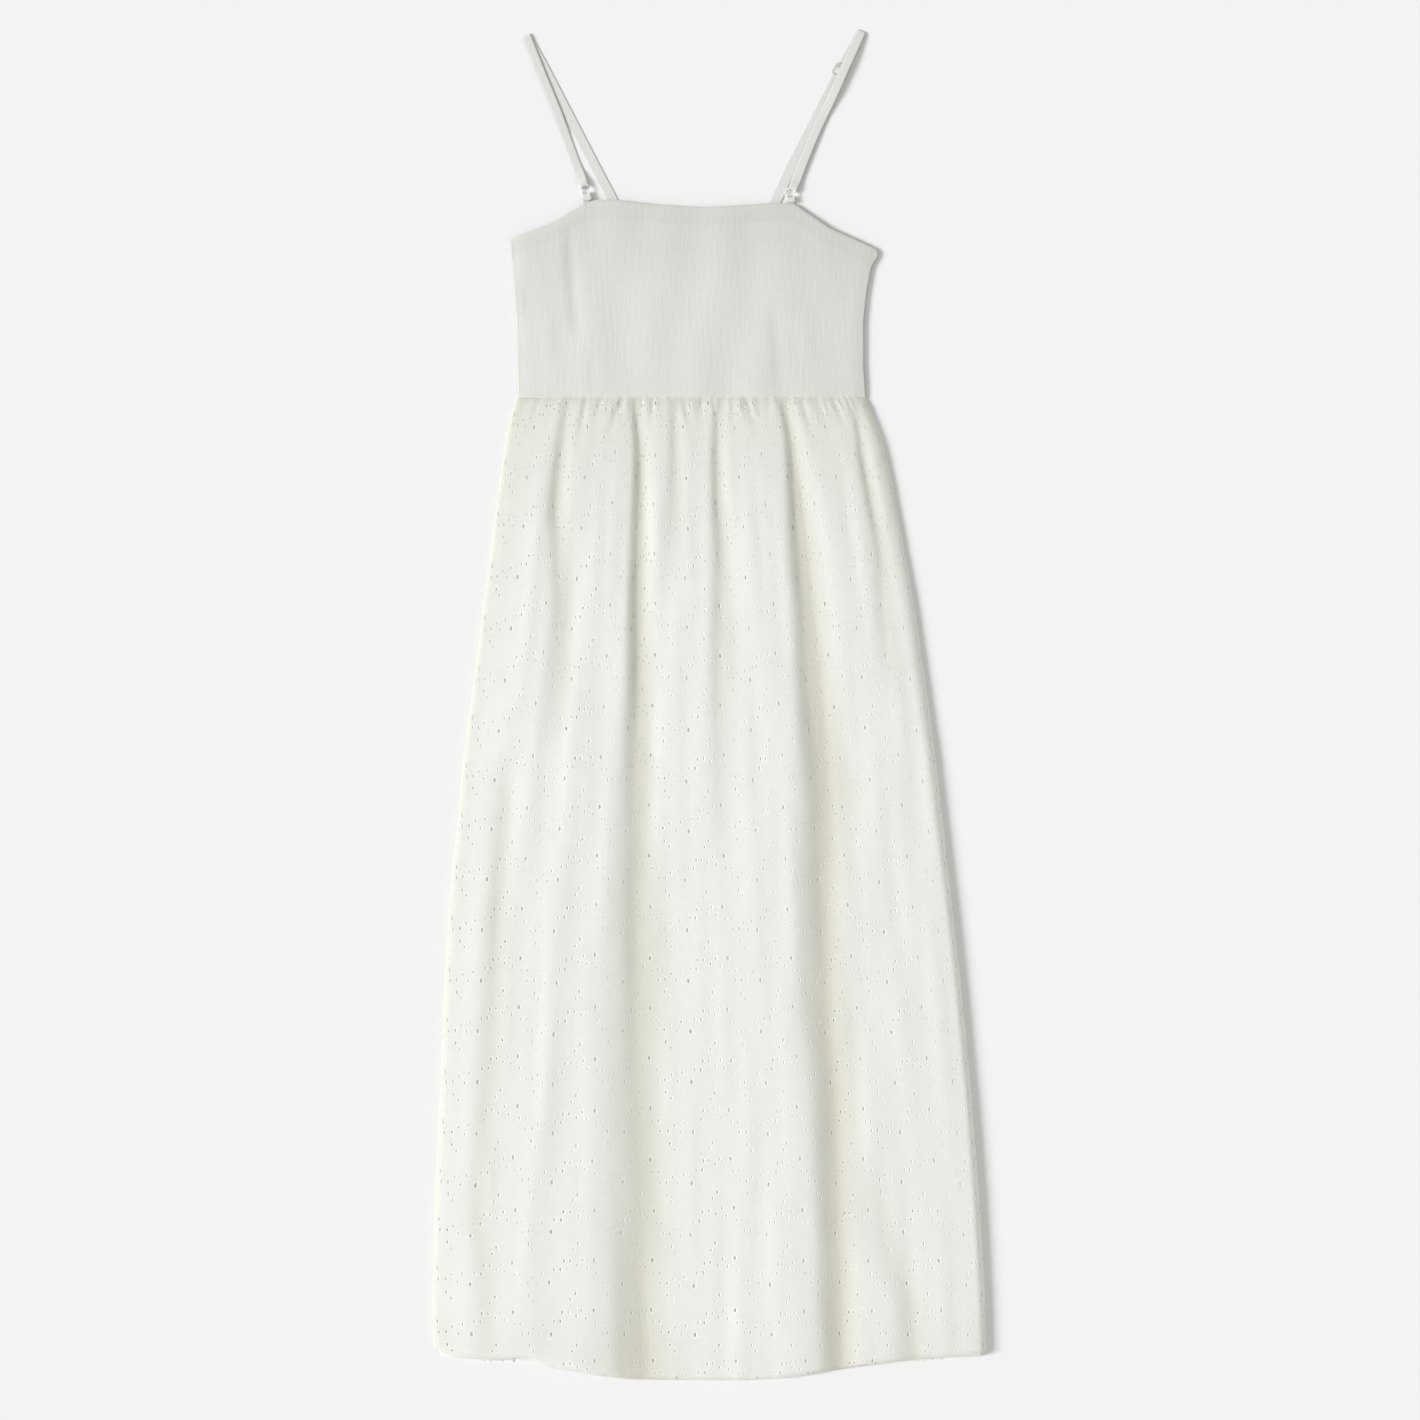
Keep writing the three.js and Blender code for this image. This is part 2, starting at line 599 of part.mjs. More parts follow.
// A flat strip along a route. Each stop is a place; up is the plan direction of the strip
// towards the shoulder, which keeps its width level across every fold; bend is how far the
// strip follows the curve of its ring there, towards (-1) or away from (1) the shoulder.
function strip(stops, wide, thick) {
  const positions = [];
  const triangles = [];
  stops.forEach((stop, k) => {
    const a = stops[Math.max(0, k - 1)].at;
    const b = stops[Math.min(stops.length - 1, k + 1)].at;
    const along = new THREE.Vector3().subVectors(b, a).normalize();
    const across = new THREE.Vector3(-stop.up.y, stop.up.x, 0).normalize();
    const out = new THREE.Vector3().crossVectors(along, across).normalize();
    const half = (stop.wide || wide) / 2;
    const drop = (stop.bend || 0) * (ringMid - Math.sqrt(ringMid * ringMid - half * half));
    [[-1, -1], [0, -1], [1, -1], [1, 1], [0, 1], [-1, 1]].forEach(([w, t]) => {
      const p = stop.at.clone().addScaledVector(across, w * half);
      p.addScaledVector(out, t * thick / 2);
      if (w) p.addScaledVector(stop.up, drop);
      positions.push(p.x, p.y, p.z);
    });
  });
  const ring = 6;
  for (let k = 0; k + 1 < stops.length; k += 1) {
    for (let s = 0; s < ring; s += 1) {
      const a = k * ring + s;
      const b = k * ring + (s + 1) % ring;
      triangles.push(a, a + ring, b + ring, a, b + ring, b);
    }
  }
  const e = (stops.length - 1) * ring;
  [[0, 1, 4], [0, 4, 5], [1, 2, 3], [1, 3, 4]].forEach(([a, b, c]) => {
    triangles.push(a, b, c, e + a, e + c, e + b);
  });
  return { positions, triangles };
}

function volumeOf(mesh) {
  let sum = 0;
  const p = (k) => mesh.positions.slice(k * 3, k * 3 + 3);
  for (let t = 0; t < mesh.triangles.length; t += 3) {
    const [a, b, c] = [p(mesh.triangles[t]), p(mesh.triangles[t + 1]), p(mesh.triangles[t + 2])];
    sum += a[0] * (b[1] * c[2] - b[2] * c[1]) - a[1] * (b[0] * c[2] - b[2] * c[0])
      + a[2] * (b[0] * c[1] - b[1] * c[0]);
  }
  return sum / 6;
}

function facingOut(mesh) {
  if (volumeOf(mesh) > 0) return mesh;
  const turned = [];
  for (let t = 0; t < mesh.triangles.length; t += 3) {
    turned.push(mesh.triangles[t], mesh.triangles[t + 2], mesh.triangles[t + 1]);
  }
  return { positions: mesh.positions, triangles: turned };
}

// Places along a polyline, spaced evenly, with a part of its length cut off each end.
function along(points, from, to, count) {
  const lengths = [0];
  for (let i = 1; i < points.length; i += 1) {
    const d = Math.hypot(points[i].x - points[i - 1].x, points[i].y - points[i - 1].y);
    lengths.push(lengths[i - 1] + d);
  }
  const total = lengths[lengths.length - 1];
  const rows = points.map((p, i) => ({ s: lengths[i], x: p.x, y: p.y }));
  const list = [];
  for (let k = 0; k <= count; k += 1) {
    const s = from + (total - to - from) * k / count;
    list.push({ x: read(rows, 's', s, 'x'), y: read(rows, 's', s, 'y'), s, total });
  }
  return list;
}

function placeAt(x, y, z) {
  return new THREE.Vector3(x, y, z);
}

straps.forEach((strap) => {
  const { ring } = strap;
  const lowZ = strapThick / 2;                       // back limb, on the surface
  const highZ = strapThick * 1.5 + seamGap;          // front limb, on the back one
  const stops = [];
  const direction = (a, b) => new THREE.Vector3(b.x - a.x, b.y - a.y, 0).normalize();

  // The slider stands on the back limb; the limb weaves under, over and under its bars.
  const backTotal = along(strap.back, 0, 0, 1)[0].total;
  const woven = strap.slider !== null;
  const sliderAt = woven ? backTotal * strap.slider : -1000;
  const overBar = sliderZ + sliderThick + seamGap + strapThick / 2;
  const weave = [
    { s: -14, z: lowZ }, { s: -4.3, z: lowZ }, { s: -1.7, z: overBar }, { s: 1.7, z: overBar },
    { s: 4.3, z: lowZ }, { s: 14, z: lowZ },
  ];
  const frontClear = overBar + strapThick + seamGap;
  const backStops = [];
  along(strap.back, 3, 0.3, 12).forEach((p) => backStops.push(p.s));
  if (woven) weave.forEach((w) => backStops.push(sliderAt + w.s));
  const backList = [...new Set(backStops)].sort((a, b) => b - a)
    .filter((s) => Math.abs(s - sliderAt) >= 14 || weave.some((w) => sliderAt + w.s === s));
  const backRows = [];
  {
    let s = 0;
    strap.back.forEach((p, i) => {
      if (i) s += Math.hypot(p.x - strap.back[i - 1].x, p.y - strap.back[i - 1].y);
      backRows.push({ s, x: p.x, y: p.y });
    });
  }
  backList.forEach((s) => {
    const x = read(backRows, 's', s, 'x');
    const y = read(backRows, 's', s, 'y');
    const ahead = { x: read(backRows, 's', s - 4, 'x'), y: read(backRows, 's', s - 4, 'y') };
    const behind = { x: read(backRows, 's', s + 4, 'x'), y: read(backRows, 's', s + 4, 'y') };
    const z = Math.abs(s - sliderAt) < 14 ? read(weave, 's', s - sliderAt, 'z') : lowZ;
    stops.push({ at: placeAt(x, y, z), up: direction(behind, ahead) });
  });

  // Over the shoulder: a tight turn from the back limb to the front one.
  const shoulderUp = direction(strap.front[1], strap.front[0]);
  const turn = (highZ - lowZ) / 2;
  const frontPoints = along(strap.front, 3, 0, 12);
  const crest = { x: frontPoints[0].x, y: frontPoints[0].y };
  [0.15, 0.5, 0.85].forEach((t) => {
    const a = Math.PI * (t - 0.5);
    const reach = turn * Math.cos(a) + 1.5;
    stops.push({
      at: placeAt(crest.x + shoulderUp.x * reach, crest.y + shoulderUp.y * reach,
        lowZ + turn + turn * Math.sin(a)),
      up: shoulderUp,
    });
  });

  // Front limb down to the ring, lifted where it passes over the slider.
  const ringUp = direction(ring, strap.front[strap.front.length - 2]);
  const wireTop = { x: ring.x + ringUp.x * ringMid, y: ring.y + ringUp.y * ringMid };
  const lie = (x, y) => {
    const sx = read(backRows, 's', sliderAt, 'x');
    const sy = read(backRows, 's', sliderAt, 'y');
    const near = Math.hypot(x - sx, y - sy);
    const lift = smooth((46 - near) / 34);
    const settled = smooth((strap.settle.from - y) / strap.settle.run);
    return highZ + (woven ? lift * (frontClear - highZ) : 0) + settled * (strap.settle.z - highZ);
  };
  frontPoints.forEach((p) => {
    const near = Math.hypot(p.x - wireTop.x, p.y - wireTop.y);
    if (near < 16) return;
    const next = { x: p.x, y: p.y };
    const behind = strap.front.reduce((best, q) => (q.y < p.y && q.y > best.y ? q : best),
      { x: ring.x, y: ring.y });
    stops.push({ at: placeAt(next.x, next.y, lie(p.x, p.y)), up: direction(behind, next) });
  });
  // Over the wire, round it inside the ring and back beneath itself to the stitch line.
  const gap = ringWire + seamGap + strapThick / 2;
  const nose = gap + 0.3;
  const onLoop = (out, z, bend = 0, wide = strapWide) => stops.push({
    at: placeAt(wireTop.x + ringUp.x * out, wireTop.y + ringUp.y * out, z), up: ringUp,
    bend, wide,
  });
  const underZ = ringZ - gap;
  onLoop(13.5, Math.max(lowZ + 0.35, strap.settle.z));
  onLoop(10.6, Math.max(highZ, strap.settle.z));
  onLoop(7, Math.max(highZ + 0.35, strap.settle.z), 0, 7.8);
  onLoop(4, ringZ + gap * 0.75, -0.5, bunched);
  [90, 60, 30, 0, -30, -60, -90].forEach((degrees) => {
    const a = degrees * Math.PI / 180;
    onLoop(-nose * Math.cos(a), ringZ + gap * Math.sin(a), -1, bunched);
  });
  onLoop(4, underZ, -0.5, bunched);
  onLoop(7, lowZ + 0.1, 0, 7.0);
  onLoop(9.6, lowZ, 0, 7.0);

  const strapMesh = facingOut(strip(stops, strapWide, strapThick));
  addNode(`strap_${strap.side}`, strapMesh.positions, strapMesh.triangles,
    { color: 0xe8eae5, roughness: 0.9, metalness: 0 });

  // Tab: from behind the top hem, under the wire, round it and back over to the edge.
  const footUp = direction(strap.tabFoot, ring);
  const wireLow = { x: ring.x - footUp.x * ringMid, y: ring.y - footUp.y * ringMid };
  const tabStops = [];
  const onTab = (out, z, bend = 0, wide = tabWide) => tabStops.push({
    at: placeAt(wireLow.x + footUp.x * out, wireLow.y + footUp.y * out, z), up: footUp,
    bend, wide,
  });
  onTab(-16, underZ);
  onTab(-9, underZ);
  onTab(-4, underZ, 0.5, bunched);
  [-90, -60, -30, 0, 30, 60, 90].forEach((degrees) => {
    const a = degrees * Math.PI / 180;
    onTab(nose * Math.cos(a), ringZ + gap * Math.sin(a), 1, bunched);
  });
  onTab(-strap.tabReach, ringZ + gap * 0.85, 0.6, bunched);
  const tab = facingOut(strip(tabStops, tabWide, strapThick));
  addNode(`strap_tab_${strap.side}`, tab.positions, tab.triangles,
    { color: 0xe6e8e3, roughness: 0.92, metalness: 0 });

  // Ring: a closed round wire.
  const round = { positions: [], triangles: [] };
  const [turns, sides] = [20, 6];
  for (let k = 0; k < turns; k += 1) {
    const a = 2 * Math.PI * k / turns;
    for (let s = 0; s < sides; s += 1) {
      const b = 2 * Math.PI * (s + 0.5) / sides;
      const r = ringMid + ringWire * Math.cos(b);
      round.positions.push(ring.x + r * Math.cos(a), ring.y + r * Math.sin(a),
        ringZ + ringWire * Math.sin(b));
      const [k2, s2] = [(k + 1) % turns, (s + 1) % sides];
      const [p, q] = [k * sides + s, k2 * sides + s];
      const [p2, q2] = [k * sides + s2, k2 * sides + s2];
      round.triangles.push(p, q, q2, p, q2, p2);
    }
  }
  const ringMesh = facingOut(round);
  addNode(`ring_${strap.side}`, ringMesh.positions, ringMesh.triangles,
    { color: 0xf3f3f0, roughness: 0.35, metalness: 0 });

  // Slider: a flat frame with a middle bar, so with two slots. The left strap shows none.
  if (!woven) return;
  const hw = sliderWide / 2;
  const hl = sliderLong / 2;
  const shape = new THREE.Shape();
  const cut = 1.4;
  shape.moveTo(-hw + cut, -hl);
  [[hw - cut, -hl], [hw, -hl + cut], [hw, hl - cut], [hw - cut, hl], [-hw + cut, hl],
    [-hw, hl - cut], [-hw, -hl + cut]].forEach(([x, y]) => shape.lineTo(x, y));
  shape.closePath();
  [-1, 1].forEach((half) => {
    const slot = new THREE.Path();
    const y0 = half > 0 ? sliderBar / 2 : -hl + sliderBar;
    const y1 = half > 0 ? hl - sliderBar : -sliderBar / 2;
    const w = hw - sliderBar;
    slot.moveTo(-w, y0);
    slot.lineTo(-w, y1);
    slot.lineTo(w, y1);
    slot.lineTo(w, y0);
    slot.closePath();
    shape.holes.push(slot);
  });
  const frame = new THREE.ExtrudeGeometry(shape, { depth: sliderThick, bevelEnabled: false });
  const sx = read(backRows, 's', sliderAt, 'x');
  const sy = read(backRows, 's', sliderAt, 'y');
  const sUp = direction(
    { x: read(backRows, 's', sliderAt + 4, 'x'), y: read(backRows, 's', sliderAt + 4, 'y') },
    { x: read(backRows, 's', sliderAt - 4, 'x'), y: read(backRows, 's', sliderAt - 4, 'y') },
  );
  frame.rotateZ(Math.atan2(sUp.y, sUp.x) - Math.PI / 2);
  frame.translate(sx, sy, sliderZ);
  const slider = new THREE.Mesh(frame, new THREE.MeshStandardMaterial(
    { color: 0xf3f3f0, roughness: 0.35, metalness: 0 },
  ));
  slider.name = `slider_${strap.side}`;
  group.add(slider);
});

// The origin lies on the surface under the middle of the whole dress.
const whole = new THREE.Box3().setFromObject(group);
group.children.forEach((mesh) => {
  mesh.geometry.translate(-(whole.min.x + whole.max.x) / 2, -(whole.min.y + whole.max.y) / 2,
    -whole.min.z);
});

export default group;
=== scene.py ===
import math
import bpy
import numpy as np
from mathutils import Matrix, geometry


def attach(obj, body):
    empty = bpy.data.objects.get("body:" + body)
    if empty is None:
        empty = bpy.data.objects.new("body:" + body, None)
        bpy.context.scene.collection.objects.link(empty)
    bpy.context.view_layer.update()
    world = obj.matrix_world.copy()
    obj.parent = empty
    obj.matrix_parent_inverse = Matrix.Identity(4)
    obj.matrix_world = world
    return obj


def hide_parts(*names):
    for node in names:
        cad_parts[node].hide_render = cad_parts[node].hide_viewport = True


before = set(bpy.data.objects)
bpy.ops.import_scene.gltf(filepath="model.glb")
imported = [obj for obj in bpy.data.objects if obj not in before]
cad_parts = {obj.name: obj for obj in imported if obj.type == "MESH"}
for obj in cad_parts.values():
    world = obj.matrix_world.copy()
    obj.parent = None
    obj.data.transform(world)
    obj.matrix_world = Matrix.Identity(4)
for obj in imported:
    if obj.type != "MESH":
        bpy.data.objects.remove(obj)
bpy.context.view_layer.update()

# Camera, surface and light. The dress is seen from straight above, lying on a plain pale
# surface, lit from low on the left by one broad soft light with much light from all round.
camera_data = bpy.data.cameras.new("camera")
camera_data.lens = 85.0
camera_data.sensor_width = 36.0
camera_data.clip_start = 0.1
camera_data.clip_end = 20.0
camera = bpy.data.objects.new("camera", camera_data)
camera.location = (0.0005, -0.0052, 3.0895)
camera.rotation_euler = (0.0, 0.0, 0.0)
bpy.context.scene.collection.objects.link(camera)
bpy.context.scene.camera = camera


def linear(code):
    """A colour written as sRGB hex, as the linear values that a shader takes."""
    parts = [int(code[i:i + 2], 16) / 255.0 for i in (1, 3, 5)]
    return tuple(c / 12.92 if c <= 0.04045 else ((c + 0.055) / 1.055) ** 2.4 for c in parts) + (1.0,)


def add(tree, kind, settings=None, **links):
    """One node, with its settings and the sockets that feed its inputs."""
    made = tree.nodes.new(kind)
    for name, value in (settings or {}).items():
        if name in made.inputs:
            made.inputs[name].default_value = value
        else:
            setattr(made, name, value)
    for name, source in links.items():
        key = int(name[1:]) if name[0] == "_" and name[1:].isdigit() else name.replace("_", " ")
        tree.links.new(source, made.inputs[key])
    return made


def new_material(name):
    material = bpy.data.materials.new(name)
    material.use_nodes = True
    material.node_tree.nodes.clear()
    return material, material.node_tree


def mesh_object(name, points, faces, material, smooth=True):
    """An object from points in millimetres."""
    mesh = bpy.data.meshes.new(name)
    mesh.from_pydata((np.asarray(points) * 0.001).tolist(), [], [tuple(int(k) for k in f) for f in faces])
    mesh.update()
    if smooth:
        mesh.polygons.foreach_set("use_smooth", [True] * len(mesh.polygons))
    mesh.materials.append(material)
    made = bpy.data.objects.new(name, mesh)
    bpy.context.scene.collection.objects.link(made)
    return made


paper, tree = new_material("pale backdrop paper")
paper_shader = add(tree, "ShaderNodeBsdfPrincipled",
                   {"Base Color": linear("#E2E2E2"), "Roughness": 0.95, "Specular IOR Level": 0.1})
add(tree, "ShaderNodeOutputMaterial", None, Surface=paper_shader.outputs[0])
floor = mesh_object("surface", [(-4000, -4000, 0), (4000, -4000, 0), (4000, 4000, 0), (-4000, 4000, 0)],
                    [(0, 1, 2, 3)], paper, smooth=False)

sun_data = bpy.data.lights.new("soft light", "SUN")
sun_data.energy = 3.66
sun_data.angle = math.radians(20.0)
sun_data.color = (0.988, 1.0, 1.041)
sun = bpy.data.objects.new("soft light", sun_data)
sun.rotation_euler = (0.0, math.radians(-62.0), 0.0)
bpy.context.scene.collection.objects.link(sun)
world = bpy.data.worlds.new("room light")
world.use_nodes = True
world.node_tree.nodes["Background"].inputs["Color"].default_value = (1.0, 0.99, 0.955, 1.0)
world.node_tree.nodes["Background"].inputs["Strength"].default_value = 0.64
bpy.context.scene.world = world
bpy.context.scene.view_settings.view_transform = "Standard"

# Skirt back. A rectangle of the same eyelet cotton as the front, lying flat on the surface
# under it. Its narrow hem peeps out at the lower left and in the fold at the lower right.
WAIST_Y = 282.3
CLOTH_WIDE = 604.0


def soft_line(places, values, soften):
    """A table read as a rounded line: straight between its rows, then softened."""
    fine = np.linspace(places[0], places[-1], 1200)
    line = np.interp(fine, places, values)
    reach = max(1, int(soften / (fine[1] - fine[0])))
    weights = np.hanning(2 * reach + 3)[1:-1]
    weights /= weights.sum()
    pad = len(weights) // 2
    before = 2 * line[0] - line[1:pad + 1][::-1]
    after = 2 * line[-1] - line[-pad - 1:-1][::-1]
    soft = np.convolve(np.concatenate([before, line, after]), weights, "valid")
    return lambda at: np.interp(at, fine, soft)


skirt_sides = np.array([  # down from the waist seam, left edge, right edge
    (0.0, -177.5, 144.5), (11.5, -181.3, 149.1), (25.3, -184.4, 154.6), (43.7, -187.8, 161.0),
    (71.3, -192.0, 167.4), (103.5, -196.5, 173.3), (140.3, -200.9, 179.9), (186.3, -207.4, 188.2),
    (232.3, -212.9, 194.9), (278.3, -219.3, 201.6), (333.5, -226.5, 209.0), (388.7, -231.3, 214.9),
    (462.3, -239.6, 223.2), (554.3, -244.2, 233.3), (646.3, -247.9, 241.9), (738.3, -252.5, 248.9),
    (830.3, -255.2, 254.0), (871.7, -253.9, 255.2), (910.0, -253.4, 255.4)])
left_edge = soft_line(skirt_sides[:, 0], skirt_sides[:, 1], 18.0)
right_edge = soft_line(skirt_sides[:, 0], skirt_sides[:, 2], 18.0)
cloth_across = np.array([  # along the flat cut, across the laid skirt
    (0, 0), (36.0, 0.070), (73.4, 0.147), (113.2, 0.212), (150.6, 0.295), (190.4, 0.345),
    (227.8, 0.395), (267.6, 0.473), (305.0, 0.548), (344.8, 0.612), (382.2, 0.673),
    (422.0, 0.735), (459.4, 0.793), (499.2, 0.858), (536.6, 0.922), (576.4, 0.966), (604.0, 1.0)])
across_of = soft_line(cloth_across[:, 0], cloth_across[:, 1], 22.0)
back_hem = np.array([  # across, down
    (0.0, 873.0), (0.02, 884.0), (0.10, 888.0), (0.5, 890.5), (0.86, 888.5), (0.99, 882.5), (1.0, 876.0)])
back_hem_at = soft_line(back_hem[:, 0], back_hem[:, 1], 0.01)

# The eyelet garland, charted: places in millimetres in one repeat of the cloth.
REPEAT_WIDE = 77.2
REPEAT_TALL = 46.37
SMALL = (1.05, 1.85)
MIDDLE = (1.2, 2.1)
LARGE = (1.65, 2.6)
garland = [
    (0.0, 0.0, MIDDLE), (5.2, 0.4, SMALL), (11.2, -3.0, SMALL), (15.7, 2.2, SMALL),
    (19.5, -4.9, SMALL), (26.6, 2.5, LARGE), (28.8, -8.7, SMALL), (34.8, -8.3, SMALL),
    (36.0, -18.0, SMALL), (42.8, -17.7, MIDDLE), (48.7, -13.2, SMALL), (54.4, -19.2, SMALL),
    (58.5, -11.0, SMALL), (66.4, -19.6, LARGE), (69.7, -8.0, SMALL), (75.2, -8.0, MIDDLE),
    (7.2, 11.5, SMALL), (10.9, 17.2, MIDDLE), (43.5, 17.2, MIDDLE), (48.0, 11.8, SMALL)]
TILE_LEFT = 22.4
TILE_LOW = -25.17
FIRST_CLOTH = 46.8  # flat cut place of the garland's own zero
FIRST_DOWN = 888.4  # how far down the lowest garland's zero lies
COLUMNS_OF_REPEATS = range(-2, 9)  # enough to cover the cut from side to side
ROWS_OF_REPEATS = range(0, 21)     # and from the hem up to the waist


def eyelet_places():
    """The garland's eyelets, moved into one tile whose borders cut through none of them."""
    return [(x + REPEAT_WIDE if x < TILE_LEFT else x, y, size) for x, y, size in garland]


def eyelet_tile(across_cells, down_cells, sides, collar):
    """One repeat of the cloth, as flat points and triangles with its eyelets left open. Each
    eyelet has a ring of points round it, the collar's width outside its edge."""
    clear_of_collar = 1.1
    points, edges, keep_clear = [], [], []
    right, high = TILE_LEFT + REPEAT_WIDE, TILE_LOW + REPEAT_TALL
    xs = np.linspace(TILE_LEFT, right, across_cells + 1)
    ys = np.linspace(TILE_LOW, high, down_cells + 1)
    border = ([(x, TILE_LOW) for x in xs[:-1]] + [(right, y) for y in ys[:-1]]
              + [(x, high) for x in xs[:0:-1]] + [(TILE_LEFT, y) for y in ys[:0:-1]])
    points += border
    edges += [(k, (k + 1) % len(border)) for k in range(len(border))]
    for cx, cy, (hw, hh) in eyelet_places():
        for grow in (0.0, collar):
            first = len(points)
            for k in range(sides):
                a = 2 * math.pi * (k + 0.5 * (grow > 0)) / sides
                points.append((cx + (hw + grow) * math.cos(a), cy + (hh + grow) * math.sin(a)))
            if grow == 0.0:
                edges += [(first + k, first + (k + 1) % sides) for k in range(sides)]
        keep_clear.append((cx, cy, hw + collar + clear_of_collar, hh + collar + clear_of_collar))
    for j in range(1, down_cells):
        for i in range(1, across_cells):
            x = xs[i] + (0.5 * (xs[1] - xs[0]) if j % 2 else 0.0)
            if x > right - 1.5:
                continue
            if all(((x - cx) / a) ** 2 + ((ys[j] - cy) / b) ** 2 > 1 for cx, cy, a, b in keep_clear):
                points.append((x, ys[j]))
    made = geometry.delaunay_2d_cdt([tuple(p) for p in points], edges, [], 0, 1e-5)
    flat = np.array([tuple(p) for p in made[0]])
    faces = []
    for face in made[2]:
        mx, my = flat[list(face)].mean(axis=0)
        if all(((mx - cx) / hw) ** 2 + ((my - cy) / hh) ** 2 > 0.93 for cx, cy, (hw, hh) in eyelet_places()):
            faces.append(list(face))
    return flat, np.array(faces)


def eyelet_panel(tile, hem_at):
    """The tile repeated over the panel, trimmed at its edges and at the hem: cloth, down, triangles."""
    flat, faces = tile
    all_points, all_faces, count = [], [], 0
    for column in COLUMNS_OF_REPEATS:
        for row in ROWS_OF_REPEATS:
            cloth = flat[:, 0] + FIRST_CLOTH + REPEAT_WIDE * column
            down = FIRST_DOWN - REPEAT_TALL * row - flat[:, 1]
            if cloth.min() > CLOTH_WIDE or cloth.max() < 0 or down.max() < 0:
                continue
            all_points.append(np.stack([cloth, down], axis=1))
            all_faces.append(faces + count)
            count += len(flat)
    points = np.concatenate(all_points)
    triangles = np.concatenate(all_faces)
    keys = np.round(points * 200).astype(np.int64)
    _, first, index = np.unique(keys, axis=0, return_index=True, return_inverse=True)
    points, triangles = points[first], index.reshape(-1)[triangles]
    points[:, 0] = np.clip(points[:, 0], 0.0, CLOTH_WIDE)
    points[:, 1] = np.clip(points[:, 1], 0.0, hem_at(across_of(points[:, 0])))
    a, b, c = (points[triangles[:, k]] for k in range(3))
    area = (b[:, 0] - a[:, 0]) * (c[:, 1] - a[:, 1]) - (b[:, 1] - a[:, 1]) * (c[:, 0] - a[:, 0])
    real = np.abs(area) > 0.02  # the rest were flattened by the trimming
    triangles, area = triangles[real], area[real]
    triangles[area > 0] = triangles[area > 0][:, ::-1]
    used, index = np.unique(triangles, return_inverse=True)
    return points[used, 0], points[used, 1], index.reshape(-1, 3)


def waves(x, y, seed, across, along, count=9):
    """Uneven smooth relief about -1 to 1: long soft waves of about the sizes given."""
    rng = np.random.default_rng(seed)
    total = np.zeros_like(x)
    for _ in range(count):
        fx = 2 * math.pi / (across * rng.uniform(0.7, 1.8)) * rng.choice((-1, 1))
        fy = 2 * math.pi / (along * rng.uniform(0.7, 2.2))
        total += np.sin(fx * x + fy * y + rng.uniform(0, 6.3))
    return total / math.sqrt(count)


